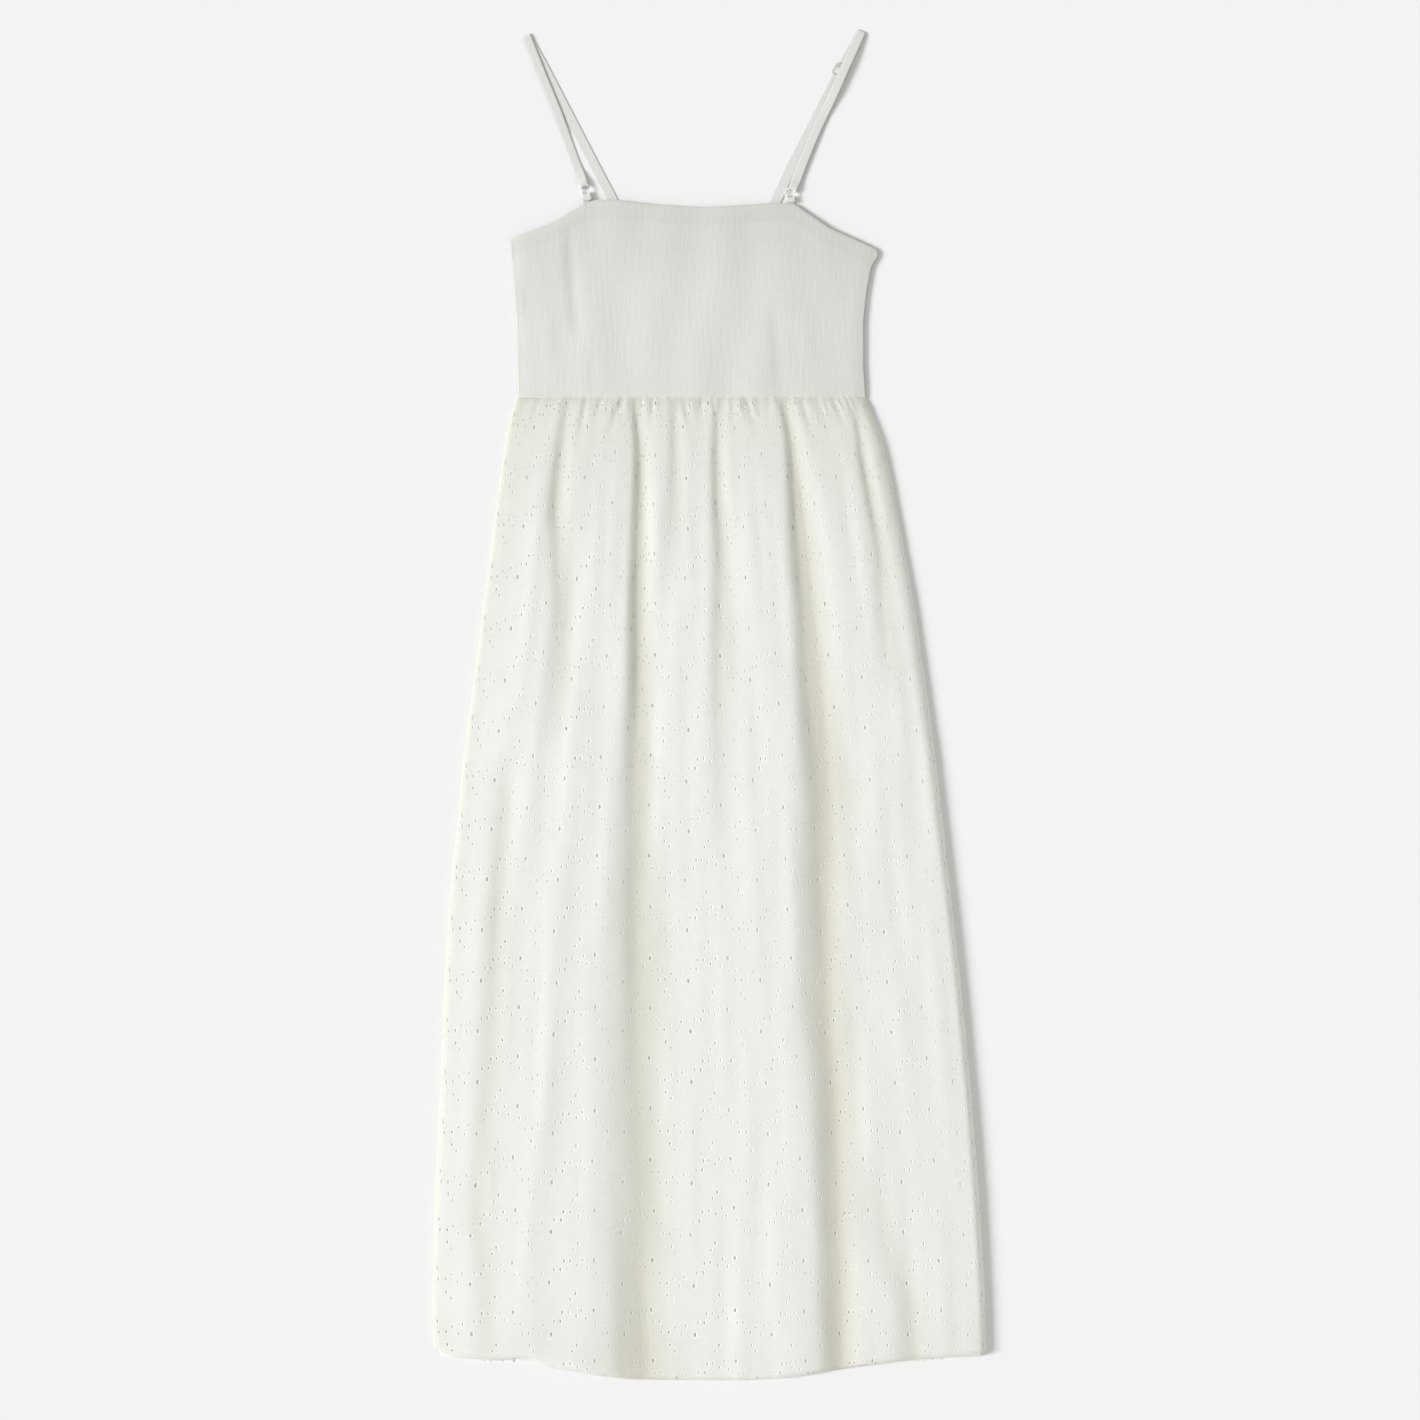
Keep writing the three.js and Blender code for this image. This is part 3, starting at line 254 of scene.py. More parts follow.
def cotton(name, base, shade, weave_mm, weave_depth, crumple_mm, crumple_depth, through, painted_shade_colour):
    """Plain-weave cotton: fine weave and soft crumple as bump, with light through it. The last colour is
    painted shade, mixed into the cloth's colour where it sinks into a fold, by the amount stored on each
    point."""
    weave_scale = 0.314 / weave_mm * 1000 / 10  # wave bands a metre, from the thread spacing
    material, tree = new_material(name)
    place = add(tree, "ShaderNodeTexCoord")
    mottle = add(tree, "ShaderNodeTexNoise", {"Scale": 38.0, "Detail": 3.0, "Roughness": 0.55},
                 Vector=place.outputs["Object"])
    tone = add(tree, "ShaderNodeMix", {"data_type": "RGBA"}, Factor=mottle.outputs["Fac"])
    tone.inputs[6].default_value = linear(base)
    tone.inputs[7].default_value = linear(shade)
    # Painted shade: mixes the colour towards the last colour by the amount stored on each point.
    painted_shade = add(tree, "ShaderNodeAttribute", {"attribute_name": "painted_shade"})
    with_painted_shade = add(tree, "ShaderNodeMix", {"data_type": "RGBA"}, Factor=painted_shade.outputs["Fac"])
    tree.links.new(tone.outputs[2], with_painted_shade.inputs[6])
    with_painted_shade.inputs[7].default_value = linear(painted_shade_colour)
    weft = add(tree, "ShaderNodeTexWave",
               {"bands_direction": "X", "Scale": weave_scale, "Distortion": 0.6, "Detail": 1.0},
               Vector=place.outputs["Object"])
    warp = add(tree, "ShaderNodeTexWave",
               {"bands_direction": "Y", "Scale": weave_scale, "Distortion": 0.6, "Detail": 1.0},
               Vector=place.outputs["Object"])
    weave = add(tree, "ShaderNodeMath", {"operation": "MULTIPLY"},
                _0=weft.outputs["Fac"], _1=warp.outputs["Fac"])
    drawn = add(tree, "ShaderNodeMapping", {"Scale": (1.0, 0.35, 1.0)}, Vector=place.outputs["Object"])
    crumple = add(tree, "ShaderNodeTexNoise", {"Scale": 1000.0 / crumple_mm, "Detail": 4.0, "Roughness": 0.6},
                  Vector=drawn.outputs[0])
    fine = add(tree, "ShaderNodeBump", {"Strength": 0.5, "Distance": weave_depth * 0.001},
               Height=weave.outputs[0])
    combed = add(tree, "ShaderNodeMapping", {"Scale": (1.0, 0.12, 1.0)}, Vector=place.outputs["Object"])
    streaks = add(tree, "ShaderNodeTexNoise", {"Scale": 420.0, "Detail": 2.0, "Roughness": 0.5},
                  Vector=combed.outputs[0])
    drape = add(tree, "ShaderNodeBump", {"Strength": 0.8, "Distance": crumple_depth * 0.0004},
                Height=streaks.outputs["Fac"], Normal=fine.outputs[0])
    soft = add(tree, "ShaderNodeBump", {"Strength": 0.8, "Distance": crumple_depth * 0.001},
               Height=crumple.outputs["Fac"], Normal=drape.outputs[0])
    cloth = add(tree, "ShaderNodeBsdfPrincipled",
                {"Roughness": 0.88, "Specular IOR Level": 0.25, "IOR": 1.5,
                 "Sheen Weight": 0.12, "Sheen Roughness": 0.5},
                Base_Color=with_painted_shade.outputs[2], Normal=soft.outputs[0])
    warm = add(tree, "ShaderNodeMix", {"data_type": "RGBA", "blend_type": "MULTIPLY", "Factor": 1.0})
    tree.links.new(with_painted_shade.outputs[2], warm.inputs[6])
    warm.inputs[7].default_value = linear("#FDFDF9")
    glow = add(tree, "ShaderNodeBsdfTranslucent", None, Color=warm.outputs[2], Normal=soft.outputs[0])
    both = add(tree, "ShaderNodeMixShader", {"Fac": through}, _1=cloth.outputs[0], _2=glow.outputs[0])
    add(tree, "ShaderNodeOutputMaterial", None, Surface=both.outputs[0])
    return material


# Plain-weave cotton, bleached white and thin enough that light comes through it.
broderie = cotton("broderie cotton", "#FEFFFE", "#FDFEFD", 0.42, 0.03, 6.0, 0.24, 0.49, "#DFDCCE")

cloth, down, faces = eyelet_panel(eyelet_tile(14, 8, 6, 1.2), back_hem_at)
across = across_of(cloth)
wide = right_edge(down) - left_edge(down)
x = left_edge(down) + across * wide
from_side = np.minimum(across, 1 - across) * wide
z = 0.95 + 0.25 * waves(x, down, 11, 60.0, 240.0)
z = 0.4 + (z - 0.4) * np.clip(from_side / 8.0, 0, 1) ** 0.5
back_cloth = mesh_object("skirt_back_cloth", np.stack([x, WAIST_Y - down, z], axis=1), faces, broderie)
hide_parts("skirt_back")
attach(back_cloth, "root")

# Bodice back. Plain cotton shirred by rows of elastic thread, with a straight upper edge,
# lying flat on the surface. The front hides it from above.
BODICE_LOW_Y = WAIST_Y + 0.2
bodice_sides = np.array([  # height, left edge, right edge
    (283.0, -176.1, 144.1), (314.0, -177.0, 142.2), (352.7, -177.9, 142.2), (379.4, -179.8, 145.0),
    (403.3, -181.6, 149.6), (413.4, -182.5, 156.0), (426.3, -183.5, 156.9), (441.0, -183.5, 156.9)])
bodice_left = soft_line(bodice_sides[:, 0], bodice_sides[:, 1], 5.0)
bodice_right = soft_line(bodice_sides[:, 0], bodice_sides[:, 2], 5.0)
BODICE_BACK_TOP = 428.1
SIDE_BEND = 413.4  # above this height the back's sides slope in to its upper edge

# The same weave drawn up by elastic, so that it lies double in its crinkles. Its greyer colour is partly the
# cloth's own and partly painted shade for the crinkles' shadows.
shirred = cotton("shirred cotton", "#E0E0DC", "#DCDCD7", 0.42, 0.03, 3.5, 0.12, 0.14, "#BFBFB9")


def grid_faces(columns, rows):
    """Quads of a grid stored row by row, facing up when rows run down the page."""
    i, j = np.meshgrid(np.arange(columns), np.arange(rows))
    a = (j * (columns + 1) + i).ravel()
    return np.stack([a, a + columns + 1, a + columns + 2, a + 1], axis=1)


columns, rows = 300, 60
u, v = np.meshgrid(np.linspace(0, 1, columns + 1), np.linspace(0, 1, rows + 1))
y = BODICE_BACK_TOP + (BODICE_LOW_Y - BODICE_BACK_TOP) * v
slope = [SIDE_BEND, 419.4, BODICE_BACK_TOP]
left = np.maximum(bodice_left(y), np.interp(y, slope, [-183.6, -182.8, -180.9]))
right = np.where(y > SIDE_BEND, np.interp(y, slope, [155.2, 150.0, 130.4]), bodice_right(y))
x = left + u * (right - left)
z = 0.85 + 0.12 * np.sin(2 * math.pi * x / 3.4 + 1.5 * waves(x, y, 21, 30.0, 20.0))
points = np.stack([x, y, z], axis=-1).reshape(-1, 3)
bodice_back_cloth = mesh_object("bodice_back_cloth", points, grid_faces(columns, rows), shirred)
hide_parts("bodice_back")
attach(bodice_back_cloth, "root")

# Skirt front. A rectangle of eyelet cotton, 604 mm wide in the cut, gathered to the bodice
# and laid over the back panel in long soft folds that fan out from the waist to the hem.
front_hem = np.array([  # across, down
    (0.0, 873.0), (0.011, 879.1), (0.038, 883.7), (0.110, 886.4), (0.148, 884.6), (0.170, 885.5),
    (0.208, 892.9), (0.253, 896.5), (0.295, 900.2), (0.356, 903.9), (0.553, 904.8), (0.647, 902.1),
    (0.723, 895.6), (0.781, 891.0), (0.855, 886.4), (0.924, 883.7), (0.993, 881.8), (1.0, 877.2)])
front_hem_at = soft_line(front_hem[:, 0], front_hem[:, 1], 0.012)
loft = soft_line([0, 40, 150, 400, 700, 910], [0.52, 0.64, 0.74, 0.86, 1.0, 1.0], 40.0)
folds = {  # each row: down, across, trough depth, half width
    "left high": [(0, 0.151, 3, 5), (25, 0.149, 3, 5), (57, 0.148, 3, 6), (94, 0.147, 2.8, 7),
                  (140, 0.163, 2.3, 8), (186, 0.180, 1.9, 9), (278, 0.187, 1.2, 10), (335, 0.187, 0, 10)],
    "left low": [(318, 0.080, 0, 10), (370, 0.084, 1.1, 10), (462, 0.095, 1.6, 10), (554, 0.098, 1.7, 10),
                 (646, 0.092, 1.7, 9), (738, 0.083, 1.5, 9), (830, 0.100, 1.0, 9), (910, 0.100, 0.7, 9)],
    "left centre": [(0, 0.341, 4.6, 5), (25, 0.350, 4.6, 5), (57, 0.356, 4.5, 5.5), (116, 0.356, 4.4, 6),
                    (186, 0.358, 4.2, 8), (278, 0.368, 3.8, 9), (370, 0.368, 3.4, 12), (462, 0.373, 3.1, 16),
                    (554, 0.374, 3, 19), (646, 0.371, 3, 19), (738, 0.380, 3.2, 18), (830, 0.375, 3.6, 18),
                    (870, 0.375, 3.7, 22), (910, 0.375, 3.8, 25)],
    "centre short": [(0, 0.452, 2.4, 4), (45, 0.447, 2.1, 5.5), (94, 0.446, 1.5, 7), (150, 0.441, 0.6, 8),
                     (200, 0.440, 0, 8)],
    "centre": [(0, 0.582, 3, 4), (31, 0.562, 3, 5), (57, 0.555, 3, 5.5), (96, 0.553, 2.8, 6),
               (140, 0.558, 2.5, 7), (196, 0.552, 2.2, 8), (278, 0.545, 1.2, 10), (370, 0.545, 0.5, 10),
               (430, 0.545, 0, 10)],
    "right centre": [(0, 0.760, 4.8, 5), (25, 0.760, 4.9, 5.5), (57, 0.753, 5, 6), (94, 0.750, 5, 7),
                     (140, 0.748, 4.8, 9), (186, 0.750, 4.7, 11), (278, 0.749, 4.6, 14),
                     (370, 0.756, 4.4, 15), (462, 0.743, 4.1, 16), (554, 0.733, 4.1, 16),
                     (646, 0.742, 4.3, 14), (738, 0.738, 4.5, 13), (830, 0.735, 4.5, 13),
                     (910, 0.735, 4.6, 12)],
    "right": [(0, 0.961, 2.4, 4), (55, 0.934, 2.6, 5), (137, 0.941, 1.8, 6), (204, 0.927, 1.4, 7),
              (250, 0.930, 0.8, 8), (300, 0.931, 0, 8)],
    "right hem": [(674, 0.800, 0, 14), (720, 0.809, 0.7, 14), (784, 0.832, 1.0, 12), (830, 0.865, 1.2, 11),
                  (910, 0.871, 1.5, 10)],
    "left ridge": [(220, 0.240, 0, 9), (278, 0.227, -0.7, 9), (462, 0.211, -0.9, 9), (646, 0.193, -1, 9),
                   (840, 0.156, -1, 9), (910, 0.150, -0.8, 9)]}
gathers = [  # short gathers at the seam: across at the seam, across at the end, length, depth, half width
    (0.03, 0.028, 26, 1.0, 2.4), (0.065, 0.06, 30, 1.1, 2.6), (0.10, 0.096, 22, 1.0, 2.4),
    (0.199, 0.192, 44, 1.7, 2.4), (0.24, 0.236, 26, 1.1, 2.4), (0.304, 0.274, 30, 1.9, 2.0),
    (0.39, 0.384, 26, 1.3, 2.2), (0.475, 0.492, 24, 1.8, 1.9), (0.528, 0.521, 20, 1.5, 1.8),
    (0.61, 0.606, 22, 1.0, 2.2), (0.652, 0.668, 28, 1.9, 2.0), (0.69, 0.692, 20, 0.9, 2.0),
    (0.811, 0.815, 40, 1.7, 2.4), (0.855, 0.862, 22, 1.2, 2.2), (0.901, 0.908, 26, 1.4, 2.2),
    (0.985, 0.982, 18, 0.8, 2.0)]


FRONT_LOW = 3.1   # height of the front's cloth where a trough is deepest
FRONT_LOFT = 5.4  # how much higher it lies where it is fullest
FRONT_EDGE = 0.9  # height of its edges, which rest on the back


def front_height(across, down, wide):
    """Height of the laid skirt front above the surface, in millimetres, and how much painted shade each place
    takes, from 0 to 1: in its folds and gathers, at the seam, over the right side, along the hem and at the
    left edge."""
    lift, painted_shade = loft(down) * FRONT_LOFT, np.zeros_like(down)
    ramp = 0.35 + 0.65 * np.clip(down / 90.0, 0, 1) ** 0.7  # the folds rise out of the seam bit by bit
    tint = (0.55 + 0.45 * np.clip(down / 300.0, 0, 1)) / 6.2
    for rows in folds.values():
        d, place, deep, half = (np.array(column, float) for column in zip(*rows))
        inside = (down >= d[0]) & (down <= d[-1])
        centre, depth, width = (soft_line(d, c, 30.0)(down) for c in (place, deep, half))
        depth = depth * ramp
        off = (across - centre) * wide / width
        soften = np.clip(down / 800.0, 0, 1)  # a fold leans to the left high up, and evens out lower down
        lean = off / np.where(off < 0, 0.75 + 0.45 * soften, 1.5 - 0.6 * soften)
        lift = lift - np.where(inside, depth * np.exp(-lean * lean), 0.0)
        aside = 0.35 - 0.25 * soften  # its shade lies a little to the right of its lowest line
        tinge = (off - aside) / np.where(off < aside, 0.9 + 0.35 * soften, 1.1 - 0.1 * soften)
        # Painted shade along the fold.
        painted_shade = painted_shade + np.where(inside, np.maximum(depth, 0) * tint * np.exp(-tinge * tinge), 0.0)
    for start, end, long, deep, half in gathers:
        centre = start + (end - start) * np.clip(down / long, 0, 1)
        off = (across - centre) * wide / (half * (1 + down / long))
        here = 0.6 * deep * np.exp(-off * off) * np.exp(-(down / long) ** 2)
        # Each gather lowers the cloth and adds a little painted shade.
        lift, painted_shade = lift - here, painted_shade + here * 0.15
    lift = lift + 0.22 * waves(across * 500, down, 31, 26.0, 420.0, 12) * np.clip(down / 120.0, 0.2, 1)
    lift = lift + 0.16 * waves(across * 500, down, 32, 70.0, 160.0, 10)
    lift = lift + 0.3 * waves(across * 340, down, 33, 7.5, 60.0, 14) * np.exp(-(down / 16.0) ** 2)
    lift = 0.5 * (lift + np.sqrt(lift * lift + 0.3))
    seam = np.sin(0.5 * math.pi * np.clip(down / 9.0, 0, 1))
    height = FRONT_LOW + lift * (0.3 + 0.7 * seam)
    from_left = across * wide
    left = np.clip(from_left / 54.0, 0, 1)
    left = left * left * (3 - 2 * left) * 0.56
    left = left + 0.44 * np.sin(0.5 * math.pi * np.clip(from_left / 1.2, 0, 1))
    right = 1 - np.clip((1 - across) * wide / (8.0 + 7.0 * np.exp(-(down / 330.0) ** 4)), 0, 1)
    right = np.sqrt(1 - right * right)
    to_hem = front_hem_at(across) - down
    turn = 1 - np.clip(to_hem / 5.0, 0, 1)
    low = 0.3 + 0.7 * np.sqrt(1 - turn * turn)
    # Shade at the gathered seam, over the right side, along the hem, and at the left edge.
    painted_shade = painted_shade + 0.08 * np.exp(-(down / 12.0) ** 2) + 0.14 * np.exp(-(down / 110.0) ** 2)
    painted_shade = painted_shade + 0.04 * np.clip((across - 0.74) / 0.08, 0, 1)
    painted_shade = painted_shade + 0.07 * np.exp(-(to_hem / 28.0) ** 2) + 0.05 * turn
    painted_shade = painted_shade + 0.06 * np.exp(-(from_left / 34.0) ** 2) + 0.8 * np.exp(-(from_left / 2.2) ** 2)
    # Painted shade high on the left.
    painted_shade = painted_shade + 0.04 * np.exp(-((down - 190) / 140.0) ** 2) * np.exp(-(from_left / 65.0) ** 2)
    return FRONT_EDGE + (height - FRONT_EDGE) * left * right * low, 1 - np.exp(-2 * painted_shade)


def front_painted_shade(cloth, down):
    """The second of those, for places on the cut cloth."""
    return front_height(across_of(cloth), down, right_edge(down) - left_edge(down))[1]


def write_painted_shade(piece, painted_shade):
    """Gives a piece the amounts of painted shade that its material mixes in."""
    piece.data.attributes.new("painted_shade", "FLOAT", "POINT").data.foreach_set("value", painted_shade)


def front_point(cloth, down, proud=0.0):
    """A place on the cut cloth, taken to its place on the laid skirt, and a little out from it."""
    def at(cloth, down):
        inner = np.clip(down / 50, 0, 1) * np.clip((870 - down) / 60, 0, 1)  # 0 at the seam and hem
        inside = np.clip(cloth / 40, 0, 1) * np.clip((CLOTH_WIDE - cloth) / 40, 0, 1)  # 0 at the sides
        shift = waves(cloth, down, 35, 90.0, 120.0) * inside
        across = across_of(cloth + 1.8 * shift * inner)
        down = down + 1.5 * waves(cloth, down, 36, 110.0, 260.0) * inner
        wide = right_edge(down) - left_edge(down)
        x = left_edge(down) + across * wide
        # The gathered edge laps unevenly over the bodice's lower edge.
        over = (0.8 + 0.5 * waves(cloth, 0 * cloth, 37, 12.0, 50.0, 12)) * np.exp(-(down / 2.5) ** 2)
        return np.stack([x, WAIST_Y - down + over, front_height(across, down, wide)[0]], axis=-1)
    here = at(cloth, down)
    if np.isscalar(proud) and proud == 0.0:
        return here
    along = at(np.clip(cloth + 0.5, 0, CLOTH_WIDE), down) - at(np.clip(cloth - 0.5, 0, CLOTH_WIDE), down)
    below = at(cloth, down - 0.5) - at(cloth, down + 0.5)
    out = np.cross(along, below)
    out /= np.linalg.norm(out, axis=-1, keepdims=True)
    return here + out * np.asarray(proud)[..., None]


EYELET_SIDES = 8
cloth, down, faces = eyelet_panel(eyelet_tile(20, 12, EYELET_SIDES, 0.9), front_hem_at)
front_cloth = mesh_object("skirt_front_cloth", front_point(cloth, down), faces, broderie)
write_painted_shade(front_cloth, front_painted_shade(cloth, down))
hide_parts("skirt_front")
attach(front_cloth, "root")

# Eyelet stitching. Each hole is overcast with white embroidery cotton, which stands up
# round it as a narrow rim.
thread, tree = new_material("white embroidery cotton")
place = add(tree, "ShaderNodeTexCoord")
strands = add(tree, "ShaderNodeTexNoise", {"Scale": 2600.0, "Detail": 2.0}, Vector=place.outputs["Object"])
lie = add(tree, "ShaderNodeBump", {"Strength": 0.4, "Distance": 0.0001}, Height=strands.outputs["Fac"])
# Painted shade: the thread turns beige where the cloth round it is in a fold, by the same amount.
painted_shade = add(tree, "ShaderNodeAttribute", {"attribute_name": "painted_shade"})
tone = add(tree, "ShaderNodeMix", {"data_type": "RGBA"}, Factor=painted_shade.outputs["Fac"])
tone.inputs[6].default_value = linear("#E9EBE8")
tone.inputs[7].default_value = linear("#CFCDC0")
sheen = add(tree, "ShaderNodeBsdfPrincipled",
            {"Roughness": 0.8, "Specular IOR Level": 0.2, "Sheen Weight": 0.05},
            Base_Color=tone.outputs[2], Normal=lie.outputs[0])
add(tree, "ShaderNodeOutputMaterial", None, Surface=sheen.outputs[0])
rim_section = [  # out from the hole's edge, proud of the cloth
    (-0.48, -0.42), (-0.08, 0.03), (0.22, 0.12), (0.56, 0.01)]
SIDE_MARGIN = 1.0  # least cloth between an eyelet and the panel's sides
END_MARGIN = 1.2   # and between it and the seam or the hem
a = 2 * math.pi * np.arange(EYELET_SIDES) / EYELET_SIDES
k = np.arange(EYELET_SIDES)
n = (k + 1) % EYELET_SIDES
rim_cloth, rim_down, rim_proud, rim_faces, count = [], [], [], [], 0
for column in COLUMNS_OF_REPEATS:
    for row in ROWS_OF_REPEATS:
        for cx, cy, (hw, hh) in eyelet_places():
            middle = cx + FIRST_CLOTH + REPEAT_WIDE * column
            low = FIRST_DOWN - REPEAT_TALL * row - cy
            if not hw + SIDE_MARGIN < middle < CLOTH_WIDE - hw - SIDE_MARGIN:
                continue
            if not hh + END_MARGIN < low < front_hem_at(across_of(middle)) - hh - END_MARGIN:
                continue
            for grow, proud in rim_section:
                rim_cloth.append(middle + (hw + grow) * np.cos(a))
                rim_down.append(low - (hh + grow) * np.sin(a))
                rim_proud.append(np.full(EYELET_SIDES, proud))
            for ring in range(len(rim_section) - 1):
                p = count + ring * EYELET_SIDES
                q = p + EYELET_SIDES
                rim_faces.append(np.stack([p + k, q + k, q + n, p + n], axis=1))
            count += EYELET_SIDES * len(rim_section)
cloth, down = np.concatenate(rim_cloth), np.concatenate(rim_down)
rims = mesh_object("eyelet_stitching", front_point(cloth, down, np.concatenate(rim_proud)),
                   np.concatenate(rim_faces), thread)
write_painted_shade(rims, front_painted_shade(cloth, down))
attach(rims, "root")

# Bodice front. Plain cotton drawn up by elastic thread in rows about 6 mm apart, so it
# crinkles in fine upright ribs; its upper edge is turned down in a 15 mm hem.
bodice_top = np.array([  # x, height
    (-183.5, 426.3), (-181.6, 429.0), (-175.2, 431.8), (-143.0, 443.8), (-130.1, 452.0), (-115.4, 460.3),
    (-105.3, 464.5), (-84.1, 464.0), (-52.8, 460.3), (-9.6, 457.6), (14.3, 458.5), (51.1, 461.2),
    (77.8, 460.8), (85.2, 455.7), (110.9, 438.2), (154.2, 418.9), (156.9, 414.3)])
bodice_top_at = soft_line(bodice_top[:, 0], bodice_top[:, 1], 2.5)
ELASTIC_ROW = 6.2  # spacing of the elastic rows
RIB = 3.1          # spacing of the upright ribs
TOP_HEM = 15.2     # depth of the turned hem
BODICE_REST = 3.85
BODICE_EDGE = 0.9
bodice_folds = [  # x, depth, half width, from height, to height
    (-129.0, 0.8, 6.0, 449, 330), (-107.5, 0.5, 6.0, 325, 278), (60.0, 0.6, 7.0, 380, 280),
    (-169.0, 0.5, 7.0, 408, 344), (87.0, -0.4, 8.0, 372, 300), (-149.0, -0.4, 8.0, 372, 300)]
columns, rows = 860, 104
u, v = np.meshgrid(np.linspace(0, 1, columns + 1), np.linspace(0, 1, rows + 1))
edge = bodice_top_at(-183.5 + 340.4 * u)
ragged = BODICE_LOW_Y - 0.5 + 0.2 * waves(340 * u, 0 * u, 47, 14.0, 50.0, 12)
y = edge + (ragged - edge) * v
left, right = bodice_left(y), bodice_right(y)
x = left + u * (right - left)
below_edge = edge - y
phase = 2 * math.pi * x / RIB + 0.9 * waves(x, y, 41, 22.0, 22.0) + 0.6 * waves(x, y, 42, 9.0, 40.0)
rib = np.sin(phase)
puff = np.abs(np.sin(math.pi * (y - 283.0) / ELASTIC_ROW)) ** 0.6
amount = np.where(below_edge < TOP_HEM, 0.8, 0.45 + 0.55 * puff)
amount = amount * (0.7 + 0.4 * waves(x, y, 43, 60.0, 60.0))
patches = np.clip(0.5 + 0.45 * waves(x, y, 48, 60.0, 60.0), 0, 1)
crinkle = waves(x, y, 49, 16.0, 9.0, 14)
z = BODICE_REST + (0.006 + 0.018 * patches) * rib * amount
z += 0.03 * (puff - 0.6) * np.exp(-((x + 15.0) / 95.0) ** 4) * (0.4 + np.clip(crinkle, 0, 1.2))
z += 0.24 * waves(x, y, 44, 55.0, 160.0)
z += 0.016 * waves(x, y, 45, 4.5, 50.0, 14) + 0.014 * waves(x, y, 46, 9.0, 5.0, 14)
# Shade on the doubled hem and its stitch line, then down from the top, over the right
# side, in the crinkles, and evenly from left to right.
painted_shade = 0.10 * (1 - np.clip((below_edge - TOP_HEM + 2) / 4, 0, 1))
painted_shade += 0.08 * np.exp(-((below_edge - TOP_HEM) / 0.8) ** 2)
painted_shade += 0.27 * np.exp(-(np.clip(459 - y, 0, 200) / 58) ** 2) + 0.11 * np.clip((x - 60) / 50, 0, 1)
painted_shade += 0.10 * (1 - puff) * (below_edge > TOP_HEM) * np.clip(crinkle, 0, 1) * (np.abs(x + 15) < 120)
painted_shade += 0.16 * (x - bodice_left(y)) / 330.0
for place, deep, half, top, low in bodice_folds:
    reach = np.clip((top - y) / 30.0, 0, 1) * np.clip((y - low) / 30.0, 0, 1)
    off = x - place - 0.0012 * (top - y) ** 2 / 2
    z -= deep * np.exp(-(off / half) ** 2) * reach
    # Painted shade just to the right of each fold.
    painted_shade += 0.25 * deep * np.exp(-((off - 1.5) / half) ** 2) * reach
z -= 0.05 * np.exp(-((below_edge - TOP_HEM) / 0.9) ** 2)
z += 0.04 * (below_edge < TOP_HEM)
side = np.minimum(x - left, right - x)
rounded = np.sqrt(1 - (1 - np.clip(side / 1.0, 0, 1)) ** 2)
eased = np.sin(0.5 * math.pi * np.clip(side / 14.0, 0, 1))
z = BODICE_EDGE + (z - BODICE_EDGE) * (0.75 * rounded + 0.25 * eased)
z -= 0.3 * np.exp(-(below_edge / 1.0) ** 2)
z -= 0.35 * np.exp(-((y - BODICE_LOW_Y) / 4.0) ** 2)
points = np.stack([x, y, z], axis=-1).reshape(-1, 3)
# Painted shade along the left edge, which faces the light, and along the upper edge.
painted_shade += 0.6 * np.exp(-((x - left) / 1.8) ** 2) + 0.3 * np.exp(-(below_edge / 1.4) ** 2)
bodice_cloth = mesh_object("bodice_front_cloth", points, grid_faces(columns, rows), shirred)
write_painted_shade(bodice_cloth, np.clip(painted_shade, 0, 1).ravel())
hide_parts("bodice_front")
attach(bodice_cloth, "root")

# Straps. Narrow strips of the same cotton, folded and stitched to 8.4 mm wide, from the back
# edge over the shoulder and down to the ring, which each one's end is looped round. A short
# tab of the same strip, its ends inside the top hem, holds each ring to the bodice.
STRAP_WIDE = 8.4
STRAP_THICK = 0.8
RING_MID = 5.3   # radius of the ring along the middle of its wire
RING_WIRE = 0.7  # radius of the wire
RING_Z = 2.15    # height of its middle

# The same weave in several layers, so little light comes through it.
# Its last colour is painted shade for the strip's side walls.
strap_cotton = cotton("strap cotton", "#D5D6D2", "#D1D2CD", 0.42, 0.06, 4.0, 0.12, 0.05, "#B3B4B0")
strap_routes = {
    "left": {"ring": (-113.8, 473.6), "foot": (-111.0, 451.9), "slider": None, "reach": 4.9,
             "settle": (540.4, 24.0, 0.45),
             "front": [(-169.3, 617.3), (-154.9, 580.8), (-139.3, 543.1), (-126.4, 507.2), (-116.6, 480.4)],
             "back": [(-169.3, 617.3), (-155.9, 593.7), (-108.0, 500.8), (-89.6, 465.8), (-71.3, 430.6)]},
    "right": {"ring": (75.1, 470.4), "foot": (74.0, 448.9), "slider": 0.2, "reach": 3.1,
              "settle": (544.4, 30.0, 2.1),
              "front": [(140.7, 621.1), (126.6, 590.0), (112.8, 558.8), (98.1, 528.4), (84.3, 494.4),
                        (78.2, 477.8)],
              "back": [(140.7, 621.1), (112.5, 568.9), (77.5, 499.9), (61.0, 463.1), (45.6, 430.6)]}}
LOW_Z = STRAP_THICK / 2           # the strap's limb that lies on the surface
HIGH_Z = STRAP_THICK * 1.5 + 0.3  # and its limb above that one
LOOP = RING_WIRE + 0.3 + STRAP_THICK / 2  # from the wire's middle to the middle of a strip round it
LOOP_NOSE = LOOP + 0.3
UNDER_Z = RING_Z - LOOP
SLIDER_Z = 1.1
OVER_BAR = SLIDER_Z + 0.8 + 0.3 + STRAP_THICK / 2


def route(points):
    """A polyline read by length along it."""
    pts = np.array(points, float)
    s = np.concatenate([[0], np.cumsum(np.linalg.norm(np.diff(pts, axis=0), axis=1))])
    return s, (lambda at: np.array([np.interp(at, s, pts[:, 0]), np.interp(at, s, pts[:, 1])]))


def unit(v):
    return np.asarray(v, float) / np.linalg.norm(v)


